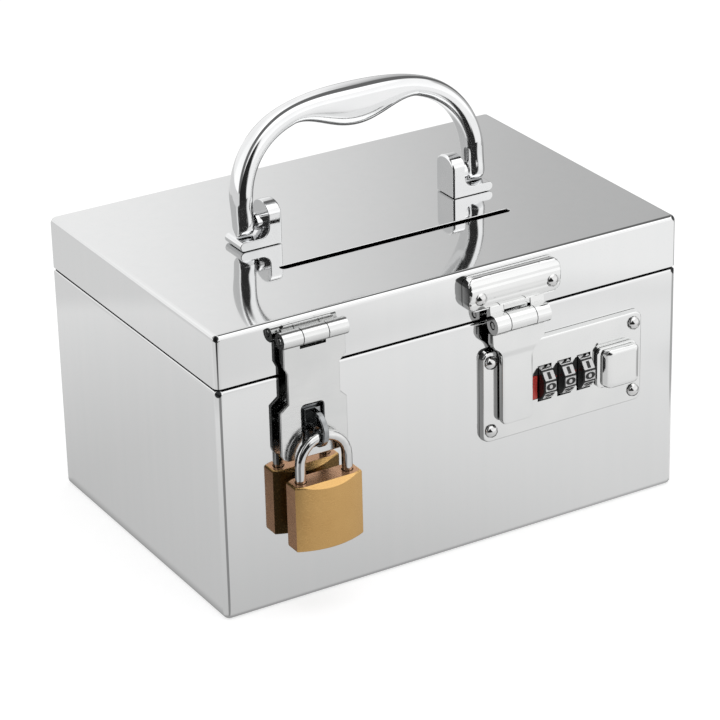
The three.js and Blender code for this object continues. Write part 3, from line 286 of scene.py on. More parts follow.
at_box = between(sheet, 0.66, 0.78, (across, -0.05, 0.1))
mirrored = add(sheet, "ShaderNodeMapRange", {"Value": gap, "From Min": 0.0, "From Max": 0.17,
                                             "To Min": at_box, "To Max": 0.92}).outputs[0]
beyond = between(sheet, 1.0, between(sheet, 0.9, 0.96, (across, -0.1, 0.25)), (gap, 0.17, 0.195))
farther = between(sheet, 1.0, between(sheet, 1.0, 1.12, (across, 0.0, 0.15)), (gap, 0.195, 0.23))
sideways = between(sheet, 0.9, 1.03, (across, -0.2, 0.25))
contact = between(sheet, 0.62, 1.0, (gap, 0.5 * MM, 4.5 * MM))
for gain in (contact, beyond, farther, sideways):
    mirrored = add(sheet, "ShaderNodeMath", {0: mirrored, 1: gain}, operation="MULTIPLY").outputs[0]
mirrored = between(sheet, mirrored, CORNER_WEDGE, (off_corner, 0.82, 0.94))
aside = add(sheet, "ShaderNodeMath", {0: to_side}, operation="ABSOLUTE").outputs[0]
mirrored = between(sheet, mirrored, PAINTED_SHADE_AHEAD, (forward, 0.3, 0.36), (aside, 0.7, 0.55))
mirrored = between(sheet, mirrored, PAINTED_SHADE_RIGHT, (across, 0.16, 0.2), (deep, -0.19, -0.14))
print("floor gradient", len(sheet.nodes), "nodes")

# %% [markdown]
# Light that has passed between the box and a fitting before it reaches the floor comes from the dark
# side of the lens, so the gaps behind the fittings and their left flanks turn nearly black. Close to the
# box it is dark as well, which draws a grey line along the lower edges of the fittings.
# The camera sees the paper lit by the lamps, with some light of its own that lifts it to white.

# %% Floor surface
UNDER_FITTINGS, IN_GAPS, AFTER_THREE = 0.2, 0.3, 0.04

path = add(sheet, "ShaderNodeLightPath").outputs
twice, often = (path["Glossy Depth"], 1.2, 1.8), (path["Glossy Depth"], 2.2, 2.8)
shade = between(sheet, IN_GAPS, between(sheet, 0.05, 0.4, (to_side, 0.0, 0.16)), (gap, 0.09, 0.13))
shade = between(sheet, shade, AFTER_THREE, often)
mirrored = between(sheet, mirrored, UNDER_FITTINGS, twice, (gap, 0.075, 0.045))
mirrored = between(sheet, mirrored, shade, twice, (ahead, 0.55, 0.8))
lit = add(sheet, "ShaderNodeBsdfDiffuse", {"Color": linear("#C8C8C8")}).outputs[0]
white = add(sheet, "ShaderNodeEmission", {"Color": (1, 1, 1, 1), "Strength": MATT_LIGHT}).outputs[0]
seen = add(sheet, "ShaderNodeAddShader", {0: lit, 1: white}).outputs[0]
shine = add(sheet, "ShaderNodeEmission", {"Color": (1, 1, 1, 1), "Strength": mirrored}).outputs[0]
direct = add(sheet, "ShaderNodeMath", {0: path["Is Camera Ray"], 1: path["Is Transmission Ray"]},
             operation="MAXIMUM").outputs[0]
surface = add(sheet, "ShaderNodeMixShader", {0: direct, 1: lit, 2: seen}).outputs[0]
surface = add(sheet, "ShaderNodeMixShader", {0: path["Is Glossy Ray"], 1: surface, 2: shine}).outputs[0]
add(sheet, "ShaderNodeOutputMaterial", {"Surface": surface})
floor_mesh.materials.append(paper)
print(paper.name, len(sheet.nodes), "nodes")

# %% [markdown]
# ## Lamps
# Two large soft lamps light the matt pieces and cast the soft shadow: one overhead, one at the front
# left. Their power is set so that a matt colour renders about as it is written. Mirrors don't see the
# lamps, as if they shone through the tent's cloth: what the metal shows is the tent.


# %% Lamps
def soft_lamp(name, place, size, radiance):
    """A square lamp that faces the box and looks radiance times as bright as white paper."""
    data = bpy.data.lights.new(name, "AREA")
    data.shape = "SQUARE"
    data.size = size
    data.energy = radiance * pi * size * size
    lamp = bpy.data.objects.new(name, data)
    bpy.context.scene.collection.objects.link(lamp)
    lamp.location = place
    lamp.rotation_euler = (Vector(place) - TARGET).to_track_quat("Z", "Y").to_euler()
    lamp.visible_glossy = False
    return lamp


overhead = soft_lamp("overhead softbox", (0.1, -0.15, 1.3), 0.9, 1.5)
key = soft_lamp("front left softbox", (-1.3, -0.6, 0.9), 0.7, 1.6)
print("lamps", overhead.data.energy, key.data.energy)

# %% [markdown]
# ## Metals and other finishes
# Each finish is one Principled shader, and a metal keeps the default IOR. What tells the metals apart is
# the tint, and how finely each was polished, which is the roughness. Both vary a little with a noise,
# as nothing real is even. A noise spends most of its area between 0.3 and 0.7, so the roughness runs
# through its range between those marks.

# %% Start of a finish
METAL, TARNISHED, PLASTIC = 1.0, 0.7, 0.0
NOISE_LOW, NOISE_HIGH = 0.3, 0.7


def grain(tree, spacing, stretch=(1, 1, 1), detail=2.0):
    """A noise whose spots are spacing millimetres apart, drawn out along an axis by stretch."""
    place = add(tree, "ShaderNodeTexCoord").outputs["Object"]
    scale = tuple(1 / (spacing * MM * s) for s in stretch)
    place = add(tree, "ShaderNodeMapping", {"Vector": place, "Scale": scale}).outputs[0]
    return add(tree, "ShaderNodeTexNoise", {"Vector": place, "Scale": 1.0, "Detail": detail}).outputs[0]


def coat(material, metallic, tint, rough, relief=None):
    """Ends a material with its shader. tint, rough and relief are sockets that feed it."""
    inputs = {"Metallic": metallic, "Base Color": tint, "Roughness": rough}
    if relief:
        inputs["Normal"] = relief
    shader = add(material.node_tree, "ShaderNodeBsdfPrincipled", inputs)
    add(material.node_tree, "ShaderNodeOutputMaterial", {"Surface": shader.outputs[0]})
    print(material.name, len(material.node_tree.nodes), "nodes")


print("noise marks", NOISE_LOW, NOISE_HIGH)

# %% [markdown]
# ### Polished stainless steel sheet
# The box is folded from sheet that was buffed to a mirror before folding. Thin sheet is never quite
# flat, so what it mirrors sways a little over some 60 mm, and the buffing leaves faint upright bands.
# The sway is a shallow bump. The bands change the tint and the roughness. Where three folds meet, at the
# corners of lid and body, the joint is welded and ground, and a dark dull spot 3 mm wide is painted there as
# a painted dark reflection.

# %% Polished stainless steel sheet
SEAM_HEIGHT, SPOT_PLACE = 107.8, Vector((103.9, 69.4, 11.5)) * MM
SPOT_INNER, SPOT_OUTER = 1.15 * MM, 1.6 * MM

mirror_steel, nodes = blank("stainless steel sheet, mirror buffed")
band = grain(nodes, 5, (1, 1, 30))
sway = add(nodes, "ShaderNodeBump", {"Height": grain(nodes, 60, detail=0.5), "Strength": 0.5,
                                     "Distance": 0.25 * MM}).outputs[0]
place = add(nodes, "ShaderNodeTexCoord").outputs["Object"]
place = add(nodes, "ShaderNodeVectorMath", {0: place, 1: (0, 0, -SEAM_HEIGHT * MM)}).outputs[0]
place = add(nodes, "ShaderNodeVectorMath", {0: place}, operation="ABSOLUTE").outputs[0]
place = add(nodes, "ShaderNodeVectorMath", {0: place, 1: SPOT_PLACE}, operation="SUBTRACT").outputs[0]
from_spot = add(nodes, "ShaderNodeVectorMath", {0: place}, operation="LENGTH").outputs["Value"]
# A dark dull spot is painted at each upper corner of lid and body: a painted dark reflection.
painted_dark_spot = from_spot, SPOT_OUTER, SPOT_INNER
tint = between(nodes, linear("#E6E7E7"), linear("#EAEAEA"), band)
tint = between(nodes, tint, linear("#3A3B3C"), painted_dark_spot)
rough = between(nodes, 0.045, 0.06, (band, NOISE_LOW, NOISE_HIGH))
rough = between(nodes, rough, 0.35, painted_dark_spot)
coat(mirror_steel, METAL, tint, rough, sway)

# %% [markdown]
# The cut edges of the sheet aren't buffed: they are dull from the shears, with burrs drawn out along the
# cut. They face each other in the seam between lid and body, and their tint is painted nearly black as
# painted shade, which makes that line dark.

# %% Sheared edge, with painted seam shade
cut_and_shaded, nodes = blank("stainless steel sheet, sheared edge")
burr = grain(nodes, 0.4, (6, 6, 1))
# The nearly black tint is painted shade in the seam between lid and body.
tint = between(nodes, linear("#2C2D2E"), linear("#4A4C4D"), burr)
rough = between(nodes, 0.45, 0.6, (burr, NOISE_LOW, NOISE_HIGH))
coat(cut_and_shaded, METAL, tint, rough)

# %% [markdown]
# ### Chromed zinc castings
# The handle and its brackets are cast in zinc, buffed and chromed. Casting leaves soft skin under the
# plate, so the highlights are sharp but their edges ripple slightly over a few millimetres.

# %% Chromed castings
chrome, nodes = blank("zinc casting, chrome plated")
skin_spots = grain(nodes, 9)
tint = between(nodes, linear("#E6E7E8"), linear("#F2F2F2"), skin_spots)
rough = between(nodes, 0.05, 0.11, (skin_spots, NOISE_LOW, NOISE_HIGH))
ripple = add(nodes, "ShaderNodeBump", {"Height": grain(nodes, 7, detail=1.0), "Strength": 0.4,
                                       "Distance": 0.06 * MM}).outputs[0]
coat(chrome, METAL, tint, rough, ripple)

# %% [markdown]
# ### Satin chrome on the latch and the lock
# The latch, its arm and the lock plate have a softer plate: wide pale gradients and no sharp mirror
# image. That is a slightly higher roughness, with a fine tooth from the tumbling before plating.

# %% Satin chrome
satin, nodes = blank("zinc casting, satin chrome")
tooth = grain(nodes, 0.35, detail=3.0)
tint = between(nodes, linear("#E4E5E5"), linear("#EFEFEE"), grain(nodes, 14))
rough = between(nodes, 0.07, 0.12, (tooth, NOISE_LOW, NOISE_HIGH))
coat(satin, METAL, tint, rough)

# %% [markdown]
# ### Pressed steel of the hasp
# The hasp is blanked and rolled from plated sheet. It is smooth, but less so than the box, and a fine
# cross grain from the rolling shows on its flat face.

# %% Pressed steel
pressed, nodes = blank("sheet steel, pressed and nickel plated")
lines = grain(nodes, 0.5, (24, 1, 1), detail=3.0)
tint = between(nodes, linear("#DCDDDD"), linear("#E8E8E7"), grain(nodes, 11))
rough = between(nodes, 0.12, 0.2, (lines, NOISE_LOW, NOISE_HIGH))
coat(pressed, METAL, tint, rough)

# %% [markdown]
# ### Bare steel of the staple
# The staple is hidden by the padlock, so it is only tumbled and oiled. It looks a good deal darker than
# the polished pieces, with cloudy patches some 2 mm wide.

# %% Bare steel
forged, nodes = blank("sheet steel, tumbled and oiled")
patches = grain(nodes, 2, detail=3.0)
tint = between(nodes, linear("#86888A"), linear("#B2B4B5"), patches)
rough = between(nodes, 0.12, 0.24, (patches, NOISE_LOW, NOISE_HIGH))
coat(forged, METAL, tint, rough)

# %% [markdown]
# ### Turned steel of pins, rivets and shackle
# Pins and the shackle are drawn rod, ground and polished round their length.

# %% Turned steel
rod_steel, nodes = blank("drawn steel rod, polished")
turned = grain(nodes, 0.6, (1, 1, 14))
tint = between(nodes, linear("#CFCFCF"), linear("#E2E2E1"), turned)
rough = between(nodes, 0.04, 0.09, (turned, NOISE_LOW, NOISE_HIGH))
coat(rod_steel, METAL, tint, rough)

# %% [markdown]
# ### Satin brass of the padlock
# The padlock body is extruded brass, linished on a belt across its width. The belt leaves fine level
# scratches about 0.3 mm apart, which spread the light into a soft golden sheen, and a faint darker
# tarnish comes in clouds of a centimetre.

# %% Satin brass
brass, nodes = blank("extruded brass, belt linished")
scratches = grain(nodes, 0.3, (40, 1, 1), detail=3.0)
tint = between(nodes, linear("#CFA468"), linear("#DDB476"), grain(nodes, 10))
rough = between(nodes, 0.26, 0.38, (scratches, NOISE_LOW, NOISE_HIGH))
scored = add(nodes, "ShaderNodeBump", {"Height": scratches, "Strength": 0.25,
                                       "Distance": 0.02 * MM}).outputs[0]
coat(brass, METAL, tint, rough, scored)

# %% [markdown]
# The ends and sides of the body are sawn and left alone. They have gone redder and duller, and a thin layer
# of tarnish hides part of the metal, so metallic is below 1. Their tint is also lifted, as painted light
# that makes up for the dark that the sides mirror.

# %% Sawn brass, its tint lifted as painted light
sawn_and_lightened, nodes = blank("extruded brass, sawn and tarnished")
saw_marks = grain(nodes, 0.5, (1, 20, 1))
# The tint is lifted as painted light on the sides and ends.
tint = between(nodes, linear("#C08E68"), linear("#D6A47C"), grain(nodes, 5))
rough = between(nodes, 0.2, 0.34, (saw_marks, NOISE_LOW, NOISE_HIGH))
coat(sawn_and_lightened, TARNISHED, tint, rough)

# %% [markdown]
# ### Plastics and prints
# The dials are moulded black ABS with white printed faces and black numbers, and the index strip is
# red. Plastic has the default IOR of about 1.5, and a fine moulded texture in its roughness. One
# function makes all five, because they differ in colour and gloss alone.


# %% Plastics
def moulded(name, dark, pale, low, high):
    """A moulded or printed plastic: two close colours in clouds, and a roughness that varies finely."""
    made, tree = blank(name)
    coat(made, PLASTIC, between(tree, linear(dark), linear(pale), grain(tree, 3)),
         between(tree, low, high, (grain(tree, 0.4), NOISE_LOW, NOISE_HIGH)))
    return made


black_abs = moulded("ABS, moulded black", "#0D0D0E", "#171718", 0.3, 0.42)
white_print = moulded("white pad print on ABS", "#E6E6E6", "#F3F3F3", 0.35, 0.45)
black_print = moulded("black pad print on ABS", "#0E0E0F", "#161616", 0.35, 0.45)
red_abs = moulded("ABS, moulded red", "#DB4740", "#E6554C", 0.3, 0.4)
red_print = moulded("red paint on plated zinc", "#D2403A", "#E04E47", 0.35, 0.5)

# %% [markdown]
# ### Inner steel
# The collar inside the box and the works of the lock are of zinc plated sheet, which nobody polished:
# grey, with the spangle of the plating in patches of 6 mm.

# %% Inner steel
inner_steel, nodes = blank("sheet steel, bright zinc plated")
spangle = grain(nodes, 6)
tint = between(nodes, linear("#8E9194"), linear("#A7A9AB"), spangle)
rough = between(nodes, 0.25, 0.4, (spangle, NOISE_LOW, NOISE_HIGH))
coat(inner_steel, METAL, tint, rough)

# %% [markdown]
# ## Finer copies of the solids
# The solids have the right shapes, but their edges are as sharp as a knife and their curves are made of
# flats. Real edges are broken by a tenth or two of a millimetre, and that is what catches the light.
# Each solid is copied, its flats are joined, its sharp edges are bevelled, and every corner gets the
# direction that light should bounce in: a large flat keeps its own, so that it mirrors without
# distortion, and small strips take theirs from it or share one. A subdivision surface would round the
# edges too, but it would also pull in the outline.


# %% Corner directions
def smooth_corners(mesh, turn=40, large=14):
    """Sets the light direction of every corner. Faces over large square millimetres keep their own."""
    limit = cos(radians(turn))
    around = [[] for v in mesh.vertices]
    for face in mesh.polygons:
        for corner_point in face.vertices:
            around[corner_point].append(face)
    directions = []
    for face in mesh.polygons:
        for corner_point in face.vertices:
            near = [f for f in around[corner_point] if f.normal.dot(face.normal) > limit]
            biggest = max(near, key=lambda f: f.area)
            if biggest.area > large * MM * MM:
                directions.append(biggest.normal.copy())
            else:
                directions.append(sum((f.normal * f.area for f in near), Vector()).normalized())
    for face in mesh.polygons:
        face.use_smooth = True
    mesh.normals_split_custom_set(directions)


print("helper:", smooth_corners.__name__)

# %% Small steps of mesh work
HAIR = 0.001 * MM


def mesh_of(bm, name):
    """A new mesh that holds what bm holds. bm is given up."""
    mesh = bpy.data.meshes.new(name)
    bm.to_mesh(mesh)
    bm.free()
    return mesh


def sharp_edges(bm, sharp, where=None):
    """The outward edges that turn by more than sharp degrees, and lie where it says."""
    return [e for e in bm.edges if len(e.link_faces) == 2 and e.is_convex
            and e.calc_face_angle() > radians(sharp)
            and (where is None or all(where(v.co / MM) for v in e.verts))]


def sliced(bm, point, direction, trim=False):
    """Cuts bm by a plane, and takes off what lies beyond it if trim is set. Returns the cut."""
    everything = list(bm.verts) + list(bm.edges) + list(bm.faces)
    return bmesh.ops.bisect_plane(bm, geom=everything, dist=HAIR, plane_co=Vector(point) * MM,
                                  plane_no=direction, clear_outer=trim)["geom_cut"]


print("points closer than", round(3 * HAIR / MM, 3), "mm are joined")

# %% Finer copy
def body_of(node):
    """The moving body that a solid belongs to."""
    return frame["nodes"][node]["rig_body"]


def finer(node, material, edge=0.2, slot=None, turn=40, sharp=35, large=14, levels=(), reshape=None,
          lip=None, lip_size=0.0, facets=()):
    """A copy of a solid with edges broken by edge millimetres. It stands for the solid.

    levels are heights to slice it at, reshape moves a point, lip chooses edges for a wider round, and
    facets are planes that trim it, each as a point and a direction.
    """
    bm = bmesh.new()
    bm.from_mesh(frame["nodes"][node].data)
    bmesh.ops.remove_doubles(bm, verts=bm.verts, dist=3 * HAIR)
    bmesh.ops.dissolve_degenerate(bm, edges=bm.edges, dist=HAIR)
    bmesh.ops.dissolve_limit(bm, angle_limit=radians(0.4), verts=bm.verts, edges=bm.edges)
    if lip:
        bmesh.ops.bevel(bm, geom=sharp_edges(bm, sharp, lip), offset=lip_size * MM, offset_type="OFFSET",
                        segments=4, profile=0.5, affect="EDGES", clamp_overlap=True)
    if edge:
        bmesh.ops.bevel(bm, geom=sharp_edges(bm, sharp), offset=edge * MM, offset_type="OFFSET",
                        segments=2, profile=0.6, affect="EDGES", clamp_overlap=True, miter_outer="SHARP")
    for point, direction in facets:
        cut = sliced(bm, point, direction, trim=True)
        bmesh.ops.contextual_create(bm, geom=[e for e in cut if isinstance(e, bmesh.types.BMEdge)])
    for level in levels:
        sliced(bm, (0, 0, level), UP)
    if reshape:
        for vertex in bm.verts:
            vertex.co = Vector(reshape(vertex.co / MM)) * MM
    mesh = mesh_of(bm, "fine_" + node)
    smooth_corners(mesh, turn, large)
    mesh.materials.append(material)
    piece = bpy.data.objects.new("fine_" + node, mesh)
    bpy.context.scene.collection.objects.link(piece)
    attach(piece, body_of(node))
    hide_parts(node)
    return piece


print("the hasp is on body", body_of("hasp_arm"))

# %% [markdown]
# ## Body and lid
# The press leaves the outer top edge of the body round, and draws that round further down the wall than
# inwards. The punch draws in the edge of the drop slot. Where the folds meet at the upper corners, the
# weld is ground flat. The other edges of the sheet stay crisp, as a brake press folds them.

# %% Rounds and ground corners
BODY_TOP, LIP_ROUND, SLOT_ROUND = 97, 0.85, 0.25
LIP_START, LIP_DRAWN, LIP_STRETCH = 96.7, 95.5, 1.65 / 0.9
SLOT_HALF, SLOT_Y = 53, -27.5


def on_body_lip(point):
    """True on the outer top edge of the body, which the press leaves round."""
    return point.z > BODY_TOP and (abs(point.x) > HALF_WIDTH - 0.9 or abs(point.y) > HALF_DEPTH - 0.9)


def on_drop_slot(point):
    """True on the top edge of the drop slot, which the punch draws in."""
    return point.z > 119.9 and abs(point.x) < SLOT_HALF and abs(point.y - SLOT_Y) < 2


def lowered_lip(point):
    """Draws the rounded top edge of the body down, as the press leaves it, taller than it is deep."""
    z = point.z if point.z < LIP_START else LIP_DRAWN + (point.z - LIP_START) * LIP_STRETCH
    return point.x, point.y, z


def corner_facets(height):
    """Planes that grind the four upper corners flat, where the folds meet and are welded."""
    return [((x * (HALF_WIDTH - 1.2), y * (HALF_DEPTH - 1.2), height), (0.503 * x, 0.704 * y, 0.503))
            for x in (-1, 1) for y in (-1, 1)]


print("facets", len(corner_facets(0)))

# %% Sheet pieces
SHEETS = {"box_body": {"lip": on_body_lip, "lip_size": LIP_ROUND, "facets": corner_facets(97.05),
                       "reshape": lowered_lip},
          "lid_shell": {"lip": on_drop_slot, "lip_size": SLOT_ROUND, "facets": corner_facets(118.55)}}
for node, extras in SHEETS.items():
    piece = finer(node, mirror_steel, 0, "polished_steel", **extras)
    piece.data.materials.append(cut_and_shaded)
    # The cut faces in the seam take the edge finish, whose dark tint is painted shade.
    for face in piece.data.polygons:
        if abs(face.normal.z) > 0.98 and 97 < face.center.z / MM < 98.6:
            face.material_index = 1
finer("box_rim", inner_steel, 0.15, "polished_steel")
print("sheet pieces", len(SHEETS) + 1)

# %% [markdown]
# ## Castings and pressings
# The plate of the latch is rolled to a low crown with two lines drawn along it, and its arm swells
# softly above the shoulders. The solids have flats there, so they are sliced into thin steps first, and
# the points of each step are then moved. A bump in the material would not change the outline.

# %% Latch shapes
PLATE_MIDDLE, PLATE_LOW, PLATE_LINES = 111.4, 104.2, (108.3, 114.2)
ARM_FACE, ARM_SWELL, SWELL_FROM, SWELL_OVER = 6.5, 0.7, 82.2, 3.0


def eased(share):
    """A share from 0 to 1 that sets off and arrives softly."""
    share = min(max(share, 0), 1)
    return share * share * (3 - 2 * share)


def rolled_plate(point):
    """Crowns the face of the latch plate and draws two lines along it."""
    proud = FRONT - point.y
    if proud > 3.9 and point.z > PLATE_LOW:
        fall = 1.9 if point.z > PLATE_MIDDLE else 1.2
        crown = 6.0 - fall * ((point.z - PLATE_MIDDLE) / 7) ** 2
        for line in PLATE_LINES:
            crown -= 0.25 * max(0, 1 - abs(point.z - line) / 0.8)
        proud = crown - max(0, 5.2 - proud)
    return point.x, FRONT - proud, point.z


def swollen_arm(point):
    """Gives the front of the latch arm its even swell above the shoulders."""
    proud = FRONT - point.y
    if ARM_FACE - 0.05 < proud < ARM_FACE + 1 and point.z < 93:
        proud = ARM_FACE + ARM_SWELL * eased((point.z - SWELL_FROM) / SWELL_OVER)
    return point.x, FRONT - proud, point.z


print("swell half way up", round(ARM_SWELL * eased(0.5), 2), "mm")

# %% Castings and pressings
for node in ("handle_bracket_left", "handle_bracket_right"):
    finer(node, chrome, 0.55, "chromed_casting")
finer("lock_case", satin, 0.3, "chromed_casting")
finer("latch_lid_plate", satin, 0.15, "chromed_casting", turn=30, large=40,
      levels=[104.4 + 0.4 * i for i in range(34)], reshape=rolled_plate)
finer("latch_arm", satin, 0.8, "chromed_casting", turn=30, large=40,
      levels=[81.9 + 0.3 * i for i in range(13)], reshape=swollen_arm)
for node in ("hasp_lid_leaf", "hasp_arm"):
    finer(node, pressed, 0.15, "polished_steel")
finer("staple_eye", forged, 0.3, "chromed_casting", turn=50)
finer("staple_base_plate", forged, 0.15, "polished_steel")
print("castings and pressings done")

# %% [markdown]
# ## Handle
# On a mirror-bright rod every flat of the model would show as a kink in the reflections, so the handle is
# swept again along the same arch, in 120 steps of 36 sides. A curve with a bevel would be quicker, but
# its section can't change from leg to grip.

# %% Arch of the handle
LEG_X, RISE, STRAIGHT, PIVOT_Z, LEAN = 53.4, 42.0, 9.0, 128.9, radians(6.5)
STEPS, DENSE = 120, 3000


def arch_centre(turn):
    """A point of the handle's arch, a flattened half ring between its two legs."""
    across = cos(turn)
    x = LEG_X * (1 if across >= 0 else -1) * abs(across) ** (2 / 3.3)
    return Vector((x, 0, STRAIGHT + (RISE - STRAIGHT) * max(sin(turn), 0) ** (2 / 1.9)))


def even_arch():
    """Points at equal steps along the arch, from the right foot to the left one."""
    dense = [arch_centre(pi * i / DENSE) for i in range(DENSE + 1)]
    reached = [0.0]
    for i in range(1, len(dense)):
        reached.append(reached[-1] + (dense[i] - dense[i - 1]).length)
    points, i = [], 0
    for step in range(STEPS + 1):
        while i < DENSE and reached[i] < reached[-1] * step / STEPS - 1e-9:
            i += 1
        points.append(dense[i])
    return points


print("arch points", len(even_arch()))

# %% [markdown]
# The section is a rounded box that turns into an oval, as cast handles are, and it swells to a belly
# under the fingers. Each foot is rounded off below its pin.

# %% Sections of the handle
LEG_HALF, WAIST_HALF, LEG_DEPTH, EYE = 4.25, 4.2, 5.5, 4.55
GRIP_HALF, BELLY, GRIP_DEPTH, FOOT = 29.0, 8.2, 7.5, 4.0
RING, SQUARENESS = 36, 2.25
FOOT_RINGS = (-0.99, -0.95, -0.88, -0.78, -0.65, -0.5, -0.3, 0.0, 0.3, 0.6, 0.9, 1.2, 1.5, 1.75)


def section(centre, outward, out_half, in_half, depth):
    """A ring of points across the handle."""
    ring = []
    for i in range(RING):
        turn = 2 * pi * (i + 0.5) / RING
        lift, side = cos(turn), sin(turn)
        lift = (1 if lift > 0 else -1) * abs(lift) ** (2 / SQUARENESS)
        side = (1 if side > 0 else -1) * abs(side) ** (2 / SQUARENESS)
        reach = lift * (out_half if lift > 0 else in_half)
        ring.append(centre + outward * reach + Vector((0, depth * side, 0)))
    return ring


def leg_gain(z):
    """How much deeper the leg is at height z than at its eye."""
    return (LEG_DEPTH - EYE) * eased((z - FOOT) / 9)


def foot_rings(side):
    """The rings of one leg, from its rounded foot up to the arch. side is 1 on the right, -1 on the left."""
    rings = []
    for share in FOOT_RINGS:
        z = share * EYE
        half = LEG_HALF - 0.9 * max(0, -share - 0.3)
        depth = EYE * (1 - min(share, 0) ** 2) ** 0.5 + leg_gain(z)
        rings.append(section(Vector((side * LEG_X, 0, z)), Vector((side, 0, 0)), half, half, depth))
    return rings


def handle_rings():
    """Every ring of the handle, from one rounded foot over the arch to the other."""
    rings = foot_rings(1)
    points = even_arch()
    for i, centre in enumerate(points):
        before, after = points[max(i - 1, 0)], points[min(i + 1, STEPS)]
        way = (after - before).normalized()
        outward = Vector((way.z, 0, -way.x))
        reach = abs(centre.x)
        swell = ((1 + cos(pi * reach / GRIP_HALF)) / 2) ** 0.75 if reach < GRIP_HALF else 0.0
        leg = max(0.0, (reach - GRIP_HALF) / (LEG_X - GRIP_HALF))
        half = WAIST_HALF + (LEG_HALF - WAIST_HALF) * leg
        depth = EYE + leg_gain(centre.z) + (GRIP_DEPTH - LEG_DEPTH) * swell
        rings.append(section(centre, outward, half + 0.6 * swell, half + BELLY * swell, depth))
    return rings + foot_rings(-1)[::-1]


print("handle rings", len(handle_rings()))

# %% [markdown]
# The rings are joined to one closed skin. The holes for the pins are cut last, by a boolean with a
# round rod, so that the pins sit in real bores.

# %% Skin and bores
PIN_BORE, BORE_FROM, BORE_TO = 1.8, 48.15, 56.25


def loft(bm, rings):
    """A closed skin over rings of points in millimetres, added to bm."""
    below = None
    for ring in rings:
        points = [bm.verts.new(Vector(point) * MM) for point in ring]
        if below:
            for i in range(len(points)):
                bm.faces.new((below[i - 1], below[i], points[i], points[i - 1]))
        else:
            bm.faces.new(points)
        below = points
    bm.faces.new(list(reversed(below)))
    bmesh.ops.recalc_face_normals(bm, faces=bm.faces)


def rod_mesh(radius, x0, x1, sides=32):
    """A closed rod along x through the pivot, for cutting."""
    bm = bmesh.new()
    bmesh.ops.create_cone(bm, cap_ends=True, segments=sides, radius1=radius * MM, radius2=radius * MM,
                          depth=(x1 - x0) * MM, matrix=Matrix.Translation(((x0 + x1) / 2 * MM, 0, 0))
                          @ Matrix.Rotation(pi / 2, 4, "Y"))
    return mesh_of(bm, "rod")


def bored(mesh, cutters):
    """The mesh with each cutter taken out of it."""
    holder = bpy.data.objects.new("to_bore", mesh)
    bpy.context.scene.collection.objects.link(holder)
    tools = []
    for cutter in cutters:
        tool = bpy.data.objects.new("cutter", cutter)
        bpy.context.scene.collection.objects.link(tool)
        step = holder.modifiers.new("bore", "BOOLEAN")
        step.operation, step.object, step.solver = "DIFFERENCE", tool, "EXACT"
        tools.append(tool)
    graph = bpy.context.evaluated_depsgraph_get()
    made = bpy.data.meshes.new_from_object(holder.evaluated_get(graph))
    for thing in (holder, *tools):
        bpy.data.objects.remove(thing)
    return made


print("bore", 2 * PIN_BORE, "mm wide")

# %% Handle
bm = bmesh.new()
loft(bm, handle_rings())
grip_mesh = bored(mesh_of(bm, "swept_handle"), [rod_mesh(PIN_BORE, BORE_FROM, BORE_TO),
                                                rod_mesh(PIN_BORE, -BORE_TO, -BORE_FROM)])
grip_mesh.transform(Matrix.Translation((0, 0, PIVOT_Z * MM)) @ Matrix.Rotation(-LEAN, 4, "X"))
smooth_corners(grip_mesh, 50, 1e6)
grip_mesh.materials.clear()
grip_mesh.materials.append(chrome)
grip = bpy.data.objects.new("fine_handle_grip", grip_mesh)
bpy.context.scene.collection.objects.link(grip)
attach(grip, body_of("handle_grip"))
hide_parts("handle_grip")
print("handle faces", len(grip_mesh.polygons))

# %% [markdown]
# ## Slide button
# The button is a cap over a thin flange, with a groove between them that a fingernail catches in. The
# solid has only its slanted outline. Here it is lofted from rounded rectangles, each given by how far it
# stands out of the box, its left and right ends and how much smaller it is all round.


# %% Rounded rectangle
def field_outline(width, height, corner, steps=4):
    """A rounded rectangle about the origin, counter-clockwise."""
    points = []
    for cx, cy, start in ((1, -1, -90), (1, 1, 0), (-1, 1, 90), (-1, -1, 180)):
        for i in range(steps + 1):
            turn = radians(start + 90 * i / steps)
            points.append((cx * (width / 2 - corner) + corner * cos(turn),
                           cy * (height / 2 - corner) + corner * sin(turn)))
    return points


print("corner points", len(field_outline(4, 3, 0.5)))

# %% Slide button
BUTTON_LOW, BUTTON_HIGH, BUTTON_CORNER, STEM_END = 56.0, 73.2, 2.4, 2.95
BUTTON_LEVELS = [(3.0, 63.6, 82.4, 0.3), (3.3, 63.6, 82.4, 0), (4.5, 63.7, 82.4, 0),
                 (4.8, 64.0, 82.3, 0.3), (4.8, 64.8, 82.0, 0.9), (5.5, 64.9, 82.0, 0.9),
                 (5.5, 65.1, 82.0, 0.5), (5.7, 65.3, 82.0, 0.25), (7.2, 66.2, 82.0, 0.25),
                 (7.6, 66.7, 81.9, 0.45), (7.95, 67.1, 81.8, 0.9), (8.2, 67.3, 81.8, 1.5),
                 (8.3, 67.4, 81.7, 2.2)]


def button_ring(proud, left, right, inset):
    """A rounded rectangle parallel to the front of the box."""
    outline = field_outline(right - left - 2 * inset, BUTTON_HIGH - BUTTON_LOW - 2 * inset,
                            BUTTON_CORNER - inset * 0.5)
    middle = (left + right) / 2, (BUTTON_LOW + BUTTON_HIGH) / 2
    return [(middle[0] + x, FRONT - proud, middle[1] + y) for x, y in outline]


